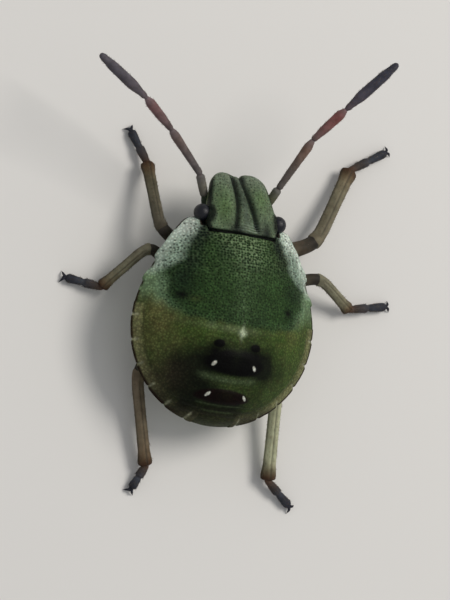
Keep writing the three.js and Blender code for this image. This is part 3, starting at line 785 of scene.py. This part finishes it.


# The dark head sides are partly a dark outline and partly painted shade where the head turns down, and the
# dark round each eye is painted shade where the eye sits half sunk; the feeler sockets are painted dark as
# well
side_edge = smoothstep(0.14, 0.02, half * waist - np.abs(head_x)) * smoothstep(4.3, 3.9, head_y)
beside_eye = smoothstep(0.44, 0.3, np.hypot((np.abs(head_x) - eye.x), (head_y - eye.y) * 0.8))
base_patches = patches(head_x, head_y, [(1, -0.3, 2.22, 0.4, 0.25), (1, 0.78, 2.3, 0.25, 0.35)])
leafy_patches = patches(head_x, head_y, [(1, -0.75, 2.95, 0.35, 0.6), (0.8, 0.6, 3.4, 0.3, 0.5)])
head_masks = {
    # Painted shade: the grooves beside the middle lobe are painted near black
    "groove": head_mask(bump(beside, groove_x, 0.17) * smoothstep(2.1, 2.4, head_y) * over_head),
    "base": head_mask(base_patches),
    # Painted shade: the base of the head, where it sits in the neck, is near black
    "crease": head_mask(smoothstep(2.24, 2.17, head_y)),
    "ripple": head_mask(np.clip(ripple, 0, 1) * ripple_area),
    "central": head_mask(central),
    "tip": head_mask(smoothstep(3.5, 4.3, head_y)),
    "leafy": head_mask(leafy_patches),
    "edge": head_mask(np.maximum(side_edge, beside_eye), 0.8),
    "pit": head_mask(head_pits * over_head),
    "belly": head_mask(smoothstep(-0.05, -0.4, tall + 0 * head_y)),
}
head_skin = add_piece("head_skin", *head_all, "head_cuticle", ("head",), head_masks)

# %% [markdown]
# ## Eyes
# An insect's eye is a bulge of many tiny lenses, each about a fiftieth of a millimetre across. The lenses are
# spread over the bulge by the golden angle, which packs them evenly, and each vertex is raised the closer it
# is to the middle of a lens. They are built nearly twice as coarse as real ones, so that they show at all.

# %% Build the eyes
lens_count = 900
lens_radius = 0.06
lens_rise = 0.012
eye_rings, eye_columns = 120, 180
order = np.arange(lens_count) + 0.5
lens_z = 1 - 2 * order / lens_count
lens_turn = order * math.pi * (3 - math.sqrt(5))
lens_ring = np.sqrt(1 - lens_z ** 2)
lens_points = np.stack([lens_ring * np.cos(lens_turn), lens_ring * np.sin(lens_turn), lens_z], axis=-1)
lens_tree = kdtree.KDTree(lens_count)
for number, point in enumerate(lens_points):
    lens_tree.insert(point, number)
lens_tree.balance()


def eye_skin(side):
    """Ball of lenses of one eye, on the left or the right side of the head"""
    fall = np.linspace(0.01, np.pi - 0.01, eye_rings)[:, None]
    turn = np.linspace(0, 2 * np.pi, eye_columns, endpoint=False)[None, :]
    ball = np.stack([np.sin(fall) * np.cos(turn), np.sin(fall) * np.sin(turn), np.cos(fall) + 0 * turn],
                    axis=-1)
    near = np.array([lens_tree.find(point)[2] for point in ball.reshape(-1, 3)]).reshape(ball.shape[:2])
    lens = np.clip(1 - (near / lens_radius) ** 2, 0, 1)
    grown = ball * (eye.width, eye.length, eye.height) * (1 - lens_rise + lens_rise * lens)[..., None]
    return ring_skin(grown + (side * eye.x, eye.y, eye.z))


eyes = {name: add_piece(f"{name}_skin", *eye_skin(side), "eye", (name,))
        for name, side in (("eye_left", -1), ("eye_right", 1))}

# %% [markdown]
# ## Beak
# The beak folds back under the head and lies between the leg roots. It has four joints, each a little thinner
# than the one before.

# %% Build the beak
beak_steps, beak_columns = 90, 32
beak_path = bent_path([(0, 3.8, 1.72), (0, 3.72, 1.22), (0, 0.35, 0.72)], beak_steps, 6)
beak_stations = [(0, 0.2), (0.1, 0.24), (0.3, 0.19), (0.34, 0.21), (0.55, 0.16), (0.59, 0.18), (0.78, 0.13),
                 (0.81, 0.15), (1, 0.05)]
beak_grid = sweep(beak_path, profile(np.linspace(0, 1, beak_steps), beak_stations), beak_columns)
rostrum = add_piece("rostrum_skin", *ring_skin(beak_grid), "leg_cuticle", ("rostrum",),
                    {"along": 0.5 * along_mask(beak_steps, beak_columns)})

# %% [markdown]
# ## Legs
# Each leg has a root and thigh that reach out under the body, a shin with grooves along it and a widened
# end, and a foot of two joints with two claws. Knees stand out just past the body's edge. Thigh and shin
# follow one bent path that is rounded at the knee, so the shin grows out of the thigh's end without a kink.

# %% Leg places
front, middle, hind = leg_root_y.front, leg_root_y.middle, leg_root_y.hind
leg_columns = ("root", "knee", "ankle", "toe", "size", "pale", "brown")
leg_rows = {
    "left_front": ((-0.72, front), (-2.38, 2.2, 1.62), (-2.7, 4.52), (-3.34, 5.58), 0.96, 0.08, 0.2),
    "right_front": ((0.72, front), (3.5, 2.68, 1.0), (4.85, 5.5), (6.26, 6.4), 1.14, 0.3, 0.45),
    "left_middle": ((-0.78, middle), (-2.74, 1.4, 1.62), (-3.88, 0.03), (-5.1, 0.2), 0.84, 0.3, 0.25),
    "right_middle": ((0.78, middle), (3.62, 1.34, 1.42), (5.32, 0.63), (6.84, 0.98), 0.9, 0.42, 0.3),
    "left_hind": ((-0.84, hind), (-2.4, -2.72, 1.0), (-1.58, -5.78), (-1.92, -6.58), 0.96, 0.25, 0.8),
    "right_hind": ((0.84, hind), (2.58, -2.3, 1.0), (2.95, -5.69), (3.94, -6.44), 1.05, 1.0, 0.1),
}
legs = {name: SimpleNamespace(**dict(zip(leg_columns, row))) for name, row in leg_rows.items()}
foot = SimpleNamespace(ankle_height=0.4, toe_height=0.16, half=0.145, claw=0.27, claw_spread=48)


def leg_points(leg):
    """Root inside the body, hip under it, knee, ankle and toe of a leg"""
    root_x, root_y = leg.root
    root_z = float(belly_height(root_x / half_width_at(root_y), root_y)) + 0.1
    root = np.array([root_x, root_y, root_z])
    hip = root - (0, 0, 0.72)
    ankle = np.array([*leg.ankle, foot.ankle_height])
    toe = np.array([*leg.toe, foot.toe_height])
    return root, hip, np.array(leg.knee), ankle, toe


# %% Path of thigh and shin
leg_steps = 300
knee_rounds = 600


def leg_paths(root, hip, knee, ankle):
    """The bent path of a leg through its knee, parted there with a short overlap"""
    bent = bent_path([root, hip, knee, ankle], leg_steps, knee_rounds)
    cut_off = knee - bent[np.argmin(np.linalg.norm(bent - knee, axis=1))]
    path = bent_path([root, hip, knee + cut_off, ankle], leg_steps, knee_rounds)
    split = int(np.argmin(np.linalg.norm(path - knee, axis=1)))
    return path[:split + 5], path[split - 5:]


# %% Thigh section


def thigh_grid(path, size):
    """A thick hip joint, a narrow waist behind it, and the long thigh"""
    hip_end = 0.7 / path_length(path)
    stations = [(0, 0.3), (hip_end * 0.6, 0.29), (hip_end, 0.2), (hip_end * 1.25, 0.2), (0.6, 0.265),
                (0.88, 0.225), (1, 0.215)]
    return sweep(path, rounded_widths(path, stations, 0.12, size), 40)


# %% [markdown]
# A shin isn't round. Its upper face is flat with a groove along it, and two more shallow grooves run along
# its sides. Towards the foot it widens to a squared end.

# %% Shin section


def shin_section(turn, parts):
    """Flat on top, with one groove there and two at the sides, all fading at both ends"""
    middle = smoothstep(0.04, 0.2, parts) * smoothstep(1.0, 0.9, parts)
    squared = 1 + 0.06 * np.cos(4 * turn)
    side_grooves = bump(turn, 0.1, 0.25) + bump(turn, np.pi - 0.1, 0.25)
    return squared - (0.17 * bump(turn, np.pi / 2, 0.34) + 0.07 * side_grooves) * middle


def shin_grid(path, size):
    stations = [(0, 0.23), (0.05, 0.235), (0.16, 0.212), (0.5, 0.205), (0.82, 0.215), (0.95, 0.255),
                (1, 0.235)]
    return sweep(path, rounded_widths(path, stations, 0.09, size), 48, 0.92, shin_section)


# %% [markdown]
# The foot has two joints with a narrow waist between them, and it rests on the floor with its last joint. Two
# curved claws spread from its tip, with a small soft pad between them.

# %% Foot section


def foot_grid(knee, ankle, toe):
    """Two foot joints with a waist between them, out of the end of the shin"""
    inside = ankle + (knee - ankle) / np.linalg.norm(knee - ankle) * 0.12
    path = bent_path([inside, ankle, toe], 90, 12)
    stations = [(0, 0.8), (0.16, 0.85), (0.3, 1.02), (0.48, 1.1), (0.55, 0.78), (0.63, 0.92), (0.9, 1.06),
                (1, 0.8)]
    return sweep(path, rounded_widths(path, stations, 0.07, foot.half), 30)


def claw_skins(ankle, toe):
    """Two bent claws and the pad between them"""
    forward = (toe - ankle) * (1, 1, 0)
    forward /= np.linalg.norm(forward)
    skins = []
    for side in (-1, 1):
        turn = math.radians(foot.claw_spread) * side
        turned = np.array([forward[0] * math.cos(turn) - forward[1] * math.sin(turn),
                           forward[0] * math.sin(turn) + forward[1] * math.cos(turn), 0.0])
        start = toe - forward * 0.04
        hump = start + (0.6 * turned + 0.4 * forward) * foot.claw * 0.55 + (0, 0, 0.02)
        tip = start + turned * foot.claw + (0, 0, 0.02 - toe[2])
        path = bent_path([start, hump, tip], 24, 6)
        widths = profile(np.linspace(0, 1, 24), [(0, 0.06), (0.5, 0.042), (1, 0.008)])
        skins.append(ring_skin(sweep(path, widths, 12)))
    pad_path = bent_path([toe - forward * 0.05, toe + forward * 0.1 - (0, 0, 0.07)], 16, 0)
    pad_widths = 0.07 * np.sin(np.linspace(0.35, np.pi - 0.15, 16))
    return skins + [ring_skin(sweep(pad_path, pad_widths, 16))]


# %% Build the legs
leg_parts = {
    "femur": SimpleNamespace(hairs="thigh", slot="leg_cuticle", hair_count=70, hair_length=0.085),
    "tibia": SimpleNamespace(hairs="shin", slot="leg_cuticle", hair_count=260, hair_length=0.095),
    "tarsus": SimpleNamespace(hairs="foot", slot="foot_cuticle", hair_count=170, hair_length=0.08),
}
limb_grids = {}
leg_pieces = {}


def limb_masks(grid, extra_points, **constants):
    """How far along the limb each vertex is, and the painted shade in its grooves, with tints that fade at its
    end
    """
    rings, columns = grid.shape[:2]
    turn = np.linspace(0, 2 * np.pi, columns, endpoint=False)[None, :]
    # Painted shade: darker along the groove on top of the shin and the grooves at its two sides, where the
    # limb turns away
    furrow = bump(turn, np.pi / 2, 0.2) + bump(turn, 0.1, 0.35) + bump(turn, np.pi - 0.1, 0.35)
    furrow = cap_values(furrow * smoothstep(0.04, 0.2, np.linspace(0, 1, rings))[:, None])
    masks = {"along": np.concatenate([along_mask(rings, columns), np.ones(extra_points)]),
             "furrow": np.concatenate([furrow, np.zeros(extra_points)])}
    for name, value in constants.items():
        masks[name] = value * smoothstep(0.97, 0.76, masks["along"])
    return masks


for name, leg in legs.items():
    root, hip, knee, ankle, toe = leg_points(leg)
    thigh_path, shin_path = leg_paths(root, hip, knee, ankle)
    grids = {"femur": thigh_grid(thigh_path, leg.size), "tibia": shin_grid(shin_path, leg.size),
             "tarsus": foot_grid(knee, ankle, toe)}
    for part_name, limb in grids.items():
        kind, node = leg_parts[part_name], f"{part_name}_{name}"
        claws = claw_skins(ankle, toe) if part_name == "tarsus" else []
        points, faces = join_skins([ring_skin(limb)] + claws)
        masks = limb_masks(limb, sum(len(claw[0]) for claw in claws), pale=leg.pale, brown=leg.brown)
        leg_pieces[node] = add_piece(f"{node}_skin", points, faces, kind.slot, (node,), masks)
        limb_grids[f"{kind.hairs}_{name}"] = (limb, kind.slot, kind.hair_count, kind.hair_length)

# %% [markdown]
# ## Hairs
# Legs, feet and feelers carry fine stiff hairs that lean towards the tip of the limb. Particle hair would do
# for a picture, but these hairs are real closed cones, so they stay part of the model. Each cone grows from a
# random place on its limb's skin. Its patch in the map called OFBake lies where its root lies on the unrolled
# limb: across is the way round the limb, and up is the way along it. Real hairs are about three thousandths
# of a millimetre thick, and these are four times as thick so that they show.

# %% Build the hairs
hair_radius = 0.006
patch_radius = 0.0015
hair_turns = np.radians([90, 210, 330])


def hair_cones(grid, count, length, seed):
    """Cones on a limb, each with three base corners and a tip, and the place of each on the unrolled limb"""
    draw = np.random.default_rng(seed)
    rings, columns = grid.shape[:2]
    row = (draw.uniform(0.05, 0.95, count) * (rings - 1)).astype(int)
    column = draw.integers(0, columns, count)
    root = grid[row, column]
    outward = root - grid[row].mean(axis=1)
    outward /= np.linalg.norm(outward, axis=1, keepdims=True)
    along = grid[row + 1].mean(axis=1) - grid[row - 1].mean(axis=1)
    along /= np.linalg.norm(along, axis=1, keepdims=True)
    lean = 0.55 * outward + 0.8 * along + draw.normal(0, 0.12, (count, 3))
    lean /= np.linalg.norm(lean, axis=1, keepdims=True)
    tip = root + lean * (length * draw.uniform(0.6, 1.2, count))[:, None]
    side = np.cross(lean, outward)
    side /= np.linalg.norm(side, axis=1, keepdims=True)
    across = np.cross(lean, side)
    corners = [root - 0.01 * lean + hair_radius * (math.cos(turn) * side + math.sin(turn) * across)
               for turn in hair_turns]
    cones = np.stack(corners + [tip], axis=1)
    places = np.stack([column / columns, row / (rings - 1)], axis=-1) * 0.98 + 0.01
    clear = tip[:, 2] > 0.02
    return cones[clear], places[clear]


def add_hairs(name, grid, slot, count, length, seed):
    """All hairs of a limb as one piece, with the unwrap that says where each of them grows"""
    cones, places = hair_cones(grid, count, length, seed)
    cone_faces = np.array([[0, 1, 3], [1, 2, 3], [2, 0, 3], [2, 1, 0]])
    faces = (cone_faces[None] + 4 * np.arange(len(cones))[:, None, None]).reshape(-1, 3).tolist()
    tip_mask = np.tile([0.0, 0.0, 0.0, 1.0], len(cones))
    piece = add_piece(f"hairs_{name}", cones.reshape(-1, 3), faces, slot, masks={"tip": tip_mask})
    corner_offsets = [(patch_radius * math.cos(turn), patch_radius * math.sin(turn)) for turn in hair_turns]
    patch = places[:, None, :] + np.array(corner_offsets + [(0.0, 0.0)])[None]
    mesh = piece.data
    corner_points = np.empty(len(mesh.loops), np.int32)
    mesh.loops.foreach_get("vertex_index", corner_points)
    unwrap = mesh.uv_layers.new(name="OFBake")
    unwrap.data.foreach_set("uv", patch.reshape(-1, 2)[corner_points].astype(np.float32).ravel())
    return piece


hair_pieces = [add_hairs(name, *limb, seed)
               for seed, (name, limb) in enumerate({**limb_grids, **feeler_tubes}.items(), start=100)]

# %% [markdown]
# ## Finishes
# Insect cuticle is chitin and protein in thin layers, hard and slightly see-through at its edges. It bends
# light a little more than water does, so its index is near 1.56. A thin layer of wax and the dense fine pits
# dull it, so that in soft light it hardly shines, and its reflection is set far below that of bare chitin.

# %% Colour and node helpers


def linear(code):
    """An sRGB hex colour as linear light"""
    values = [int(code[start:start + 2], 16) / 255 for start in (1, 3, 5)]
    light = [value / 12.92 if value <= 0.04045 else ((value + 0.055) / 1.055) ** 2.4 for value in values]
    return light + [1.0]


def add_node(tree, kind, settings=None, links=None):
    """One node, with its settings or input values, and the sockets that feed it"""
    node = tree.nodes.new(kind)
    for key, value in (settings or {}).items():
        if isinstance(key, str) and hasattr(node, key):
            setattr(node, key, value)
        else:
            node.inputs[key].default_value = value
    for key, socket in (links or {}).items():
        tree.links.new(socket, node.inputs[key])
    return node


def start_material(name, settings):
    """A material with its surface shader, ready for the nodes that feed it"""
    material = bpy.data.materials.new(name)
    material.use_nodes = True
    tree = material.node_tree
    tree.nodes.clear()
    surface = add_node(tree, "ShaderNodeBsdfPrincipled", settings)
    output = add_node(tree, "ShaderNodeOutputMaterial")
    tree.links.new(surface.outputs["BSDF"], output.inputs["Surface"])
    return material, tree, surface


def paint(tree, shown, layers):
    """Colours laid over a colour: each layer is a mask on the vertices, its strength and its colour"""
    for mask, strength, code in layers:
        attribute = add_node(tree, "ShaderNodeAttribute", {"attribute_name": mask})
        amount = add_node(tree, "ShaderNodeMath", {"operation": "MULTIPLY", 1: strength},
                          {0: attribute.outputs["Fac"]})
        mix = add_node(tree, "ShaderNodeMix", {"data_type": "RGBA", 7: linear(code)}, {0: amount.outputs[0]})
        if isinstance(shown, str):
            mix.inputs[6].default_value = linear(shown)
        else:
            tree.links.new(shown, mix.inputs[6])
        shown = mix.outputs[2]
    return shown


# %% [markdown]
# The finest grain of cuticle is about a hundredth of a millimetre, too fine to show here. It is drawn five
# times as coarse, so that highlights break up the way wax on a living insect does.

# %% Grain and uneven colour


def per_metre(size_mm):
    """Texture scale for a pattern whose cells are size_mm across"""
    return 1000 / size_mm


def object_noise(tree, size_mm, detail=3.0):
    """Soft noise that stays fixed to the piece"""
    place = add_node(tree, "ShaderNodeTexCoord")
    return add_node(tree, "ShaderNodeTexNoise", {"Scale": per_metre(size_mm), "Detail": detail},
                    {"Vector": place.outputs["Object"]})


def add_grain(tree, surface, size_mm, depth_mm):
    """Fine bumps from noise, depth_mm deep"""
    noise = object_noise(tree, size_mm)
    grain = add_node(tree, "ShaderNodeBump", {"Strength": 1.0, "Distance": depth_mm * MM},
                     {"Height": noise.outputs["Fac"]})
    tree.links.new(grain.outputs["Normal"], surface.inputs["Normal"])


def tone(tree, shown, pattern, values, levels):
    """Multiplies a colour by a grey that runs between two levels as a pattern runs between two values"""
    ranges = {"From Min": values[0], "From Max": values[1], "To Min": levels[0], "To Max": levels[1]}
    level = add_node(tree, "ShaderNodeMapRange", ranges, {"Value": pattern})
    mix = add_node(tree, "ShaderNodeMix", {"data_type": "RGBA", "blend_type": "MULTIPLY", 0: 1.0},
                   {6: shown, 7: level.outputs["Result"]})
    return mix.outputs[2]


def vary(tree, shown, size_mm, low, high):
    """Makes a colour darker and lighter in soft patches"""
    return tone(tree, shown, object_noise(tree, size_mm, 4.0).outputs["Fac"], (0.3, 0.7), (low, high))


def granules(tree, shown, size_mm, low, high):
    """Lighter grains in a darker net, from the distance to scattered points"""
    place = add_node(tree, "ShaderNodeTexCoord")
    cells = add_node(tree, "ShaderNodeTexVoronoi", {"Scale": per_metre(size_mm)},
                     {"Vector": place.outputs["Object"]})
    return tone(tree, shown, cells.outputs["Distance"], (0.1, 0.6), (high, low))


def mottle(tree, shown, size_mm, code, amount):
    """Lays specks of another colour over a colour"""
    noise = object_noise(tree, size_mm, 2.0)
    ranges = {"From Min": 0.52, "From Max": 0.66, "To Min": 0.0, "To Max": amount}
    speck = add_node(tree, "ShaderNodeMapRange", ranges, {"Value": noise.outputs["Fac"]})
    mix = add_node(tree, "ShaderNodeMix", {"data_type": "RGBA", 7: linear(code)},
                   {0: speck.outputs["Result"], 6: shown})
    return mix.outputs[2]


# %% [markdown]
# The trunk's colours lie over each other in the order in which they are seen on the bug: leaf green first,
# then the ochre and dark clouds, the pale margins, the black plates and last the pits and the rim. Each layer
# names its mask, its strength and its colour. Grains about a twelfth of a millimetre across show as a lighter
# net between the pits, and broader soft patches make the green uneven.

# %% Waxy cuticle of the trunk
cuticle = {"IOR": 1.56, "Roughness": 0.55, "Metallic": 0.0, "Specular IOR Level": 0.05,
           "Subsurface Weight": 0.05, "Subsurface Scale": 0.1 * MM}
leaf_green = "#3f5226"
ground_layers = [("fresh", 0.8, "#486028"), ("ochre", 0.66, "#67633d"), ("rim_strip", 0.62, "#8f8c66")]
mark_layers = [
    ("thorax", 0.97, "#304926"), ("earth", 0.6, "#4a4a28"), ("shade", 0.95, "#0c100a"),
    # The dark sides of the thorax are partly painted shade by the margins and beside the neck
    ("russet", 0.55, "#4c4134"), ("dark_sides_and_shade", 0.9, "#111c19"), ("midline", 0.5, "#68805c"),
    ("wrinkle", 0.62, "#8ba278"), ("pad_edge", 0.8, "#7a9673"), ("margin", 0.97, "#9db3a0"),
    ("frost", 0.85, "#d3ded2"), ("side_spot", 0.97, "#0b0c0a"), ("band", 0.66, "#75835f"),
    ("plate_black", 0.99, "#040404"), ("plate_maroon", 0.98, "#100505"), ("joint_skin", 0.88, "#465439"),
    # The white gland marks are partly painted highlights on the raised knobs
    ("bright", 0.95, "#aebb9c"), ("white_and_glint", 0.95, "#d3d5c8"), ("pit", 0.72, "#0c140c"),
    # The near black at the neck is painted shade in the gap under the head
    ("joint_mark", 0.7, "#a3a588"), ("rim_dash", 0.95, "#22130f"), ("crease", 0.97, "#0a0c0b"),
    ("belly", 1.0, "#8f9b6d"), ("breathing_hole", 0.9, "#1a1a14"),
]
trunk_material, tree, surface = start_material("waxy trunk cuticle", cuticle)
trunk_colour = paint(tree, leaf_green, ground_layers)
trunk_colour = mottle(tree, trunk_colour, size_mm=0.12, code="#5f6c3c", amount=0.25)
trunk_colour = mottle(tree, trunk_colour, size_mm=0.16, code="#3b2d1c", amount=0.3)
trunk_colour = paint(tree, trunk_colour, mark_layers)
trunk_colour = vary(tree, trunk_colour, size_mm=0.6, low=0.78, high=1.2)
trunk_colour = granules(tree, trunk_colour, size_mm=0.085, low=0.64, high=1.25)
tree.links.new(trunk_colour, surface.inputs["Base Color"])
add_grain(tree, surface, size_mm=0.05, depth_mm=0.006)
trunk_skin.data.materials.append(trunk_material)

# %% [markdown]
# The head has the same waxy cuticle, a little smoother and greyer. Its grooves and the part of its base that
# sits in the neck are painted almost black as shade, its sides and the skin round its eyes are darker, partly
# as painted shade, a few patches at its base are almost black, and pale ripples cross its base.

# %% Waxy cuticle of the head
head_material, tree, surface = start_material("waxy head cuticle", dict(cuticle, Roughness=0.5))
head_layers = [
    ("leafy", 0.6, "#4f6b37"), ("tip", 0.6, "#7b8575"), ("central", 0.6, "#444c46"),
    # The grooves carry painted shade
    ("base", 0.9, "#101415"), ("groove", 0.92, "#0e1213"), ("ripple", 0.6, "#8f9c92"),
    # The dark head sides and the dark round the eyes are partly painted shade
    # The near black at the base of the head is painted shade in the neck
    ("pit", 0.8, "#0f150f"), ("edge", 0.9, "#0d1011"), ("crease", 0.97, "#0a0c0b"),
    ("belly", 1.0, "#7f8a66"),
]
head_colour = vary(tree, paint(tree, "#67785e", head_layers), size_mm=0.4, low=0.8, high=1.14)
head_colour = granules(tree, head_colour, size_mm=0.09, low=0.75, high=1.15)
tree.links.new(head_colour, surface.inputs["Base Color"])
add_grain(tree, surface, size_mm=0.05, depth_mm=0.008)
head_skin.data.materials.append(head_material)

# %% [markdown]
# Eye lenses are clear, smooth cuticle over dark pigment, so an eye is nearly black with a blue cast. Each
# lens turns the light another way, so the shine on the eye is small and soft.

# %% Clear cuticle of the eyes
eye_material, tree, surface = start_material("clear eye cuticle", {
    "Base Color": linear("#10121a"), "IOR": 1.56, "Roughness": 0.35, "Specular IOR Level": 0.3})
add_grain(tree, surface, size_mm=0.04, depth_mm=0.003)
for piece in eyes.values():
    piece.data.materials.append(eye_material)

# %% [markdown]
# Feeler and leg cuticle is thin and tinted by what is inside it. Each joint is darker at its base or its
# tip, which a ramp along the joint gives, and fine noise breaks the colour up. The left feeler looks duller
# than the right one, and each leg has its own share of a pale and a brown tint.

# %% Tinted cuticle of feelers, legs and feet


def limb_material(name, layers, along_colours, roughness):
    """Cuticle with its own colours along the joint: (part of the length, colour)"""
    material, tree, surface = start_material(name, dict(cuticle, Roughness=roughness))
    place = add_node(tree, "ShaderNodeAttribute", {"attribute_name": "along"})
    ramp = add_node(tree, "ShaderNodeValToRGB", {}, {"Fac": place.outputs["Fac"]})
    stops = ramp.color_ramp.elements
    while len(stops) < len(along_colours):
        stops.new(0.5)
    for stop, (at, code) in zip(stops, along_colours):
        stop.position = at
        stop.color = linear(code)
    shown = paint(tree, ramp.outputs["Color"], layers)
    shown = vary(tree, shown, size_mm=0.3, low=0.7, high=1.2)
    tree.links.new(shown, surface.inputs["Base Color"])
    add_grain(tree, surface, size_mm=0.04, depth_mm=0.006)
    return material


feeler_colours = [
    [(0, "#4e5040"), (0.5, "#62634f"), (0.9, "#64645e"), (1, "#5b504c")],
    [(0, "#5a5552"), (0.4, "#5f5752"), (0.8, "#735d52"), (1, "#6c5f5f")],
    [(0, "#635655"), (0.35, "#725351"), (0.75, "#80504e"), (1, "#746163")],
    [(0, "#5f5256"), (0.2, "#4e4a53"), (0.7, "#43444f"), (1, "#3b3c44")],
]
feeler_names = ["olive feeler cuticle", "brown feeler cuticle", "red feeler cuticle", "dark feeler cuticle"]
feeler_materials = [limb_material(name, [("dull", 0.55, "#686164")], colours, 0.55)
                    for name, colours in zip(feeler_names, feeler_colours)]
for (name, index), piece in feeler_skins.items():
    piece.data.materials.append(feeler_materials[index])
shin_material = limb_material("olive shin cuticle", [
    # The darkest layer is painted shade in the shin's grooves along its top and sides
    ("pale", 0.85, "#b3b696"), ("brown", 0.6, "#6b5142"), ("furrow", 0.6, "#2c2922")], [
    (0, "#2f2c28"), (0.2, "#4b493f"), (0.66, "#595746"), (0.86, "#54432f"), (1, "#3f2c22")], 0.5)
thigh_material = limb_material("brown thigh cuticle", [
    ("pale", 0.35, "#7d7c5c"), ("brown", 0.5, "#5c4638")], [
    (0, "#6f7350"), (0.5, "#5a5843"), (0.8, "#403c36"), (1, "#2f2c28")], 0.5)
foot_material = limb_material("dark foot cuticle", [], [
    (0, "#5a4234"), (0.22, "#453d39"), (0.6, "#3a3d44"), (1, "#2e2f36")], 0.5)
limb_materials = {"femur": thigh_material, "tibia": shin_material, "tarsus": foot_material}
for name, piece in leg_pieces.items():
    piece.data.materials.append(limb_materials[name.split("_")[0]])
rostrum.data.materials.append(thigh_material)

# %% [markdown]
# A hair is brown at its root and nearly clear at its tip, so its colour runs from dark brown to pale horn.

# %% Horn of the hairs
hair_material, tree, surface = start_material("brown horn of hairs", dict(cuticle, Roughness=0.4))
hair_colour = paint(tree, "#2f2823", [("tip", 0.8, "#9b8f78")])
hair_colour = vary(tree, hair_colour, size_mm=0.5, low=0.8, high=1.15)
tree.links.new(hair_colour, surface.inputs["Base Color"])
for piece in hair_pieces:
    piece.data.materials.append(hair_material)

# %% [markdown]
# ## Floor, light and camera
# The floor is a plain pale board, matte, so that it mirrors nothing. One soft round light hangs in front of
# the bug and to its right, so the shadow falls softly to the left and behind, and a pale sky fills the rest.

# %% Floor
floor_half = 0.4
floor_corners = [(-floor_half, -floor_half, 0), (floor_half, -floor_half, 0), (floor_half, floor_half, 0),
                 (-floor_half, floor_half, 0)]
floor_mesh = bpy.data.meshes.new("floor")
floor_mesh.from_pydata(floor_corners, [], [(0, 1, 2, 3)])
floor = bpy.data.objects.new("floor", floor_mesh)
bpy.context.scene.collection.objects.link(floor)
floor_material, tree, surface = start_material(
    "matte pale board", {"Base Color": linear("#dad9d6"), "Roughness": 0.9})
floor_mesh.materials.append(floor_material)

# %% Light
world = bpy.data.worlds.new("studio")
world.use_nodes = True
sky = world.node_tree.nodes["Background"]
sky.inputs["Color"].default_value = linear("#f1f2f5")
sky.inputs["Strength"].default_value = 0.5
bpy.context.scene.world = world
light_place = Vector((0.085, 0.065, 0.17))
light_target = Vector((0, 0, 0.002))
light_data = bpy.data.lights.new("key light", "AREA")
light_data.shape = "DISK"
light_data.size = 0.1
light_data.energy = 0.245
light_data.color = linear("#fffaf3")[:3]
light = bpy.data.objects.new("key light", light_data)
bpy.context.scene.collection.objects.link(light)
light.location = light_place
light.rotation_euler = (light_target - light_place).to_track_quat("-Z", "Y").to_euler()
print("light power in watts:", light_data.energy)

# %% [markdown]
# The camera looks down at the back from the bug's left and a little from behind, turned so that the head
# leans to the right of the picture. Its three angles were found by matching eyes, corners and spots.

# %% Camera
view = SimpleNamespace(lean=22, back_tilt=-8, roll=6, distance=120, pixels_per_mm=29.6)
target = to_scene([-0.05, 0.0, 2.2])
lean, back_tilt, roll = (math.radians(value) for value in (view.lean, view.back_tilt, view.roll))
right = np.array([math.cos(lean), 0, math.sin(lean)])
away = np.array([-math.sin(lean), 0, math.cos(lean)])
ahead = np.array([0.0, 1.0, 0.0])
back = away * math.cos(back_tilt) + ahead * math.sin(back_tilt)
upward = ahead * math.cos(back_tilt) - away * math.sin(back_tilt)
camera_right = right * math.cos(roll) + upward * math.sin(roll)
camera_up = upward * math.cos(roll) - right * math.sin(roll)
image_height = 600
sensor_width = 36
camera_data = bpy.data.cameras.new("camera")
camera_data.sensor_width = sensor_width
camera_data.lens = sensor_width * view.distance / (image_height / view.pixels_per_mm)
camera_data.clip_start = 0.005
camera = bpy.data.objects.new("camera", camera_data)
bpy.context.scene.collection.objects.link(camera)
camera_place = Vector(target + back * view.distance * MM)
camera_turn = Matrix([[camera_right[axis], camera_up[axis], back[axis]] for axis in range(3)]).to_4x4()
camera.matrix_world = Matrix.Translation(camera_place) @ camera_turn
bpy.context.scene.camera = camera
bpy.context.scene.view_settings.view_transform = "Standard"
print("lens in mm:", round(camera_data.lens, 1))
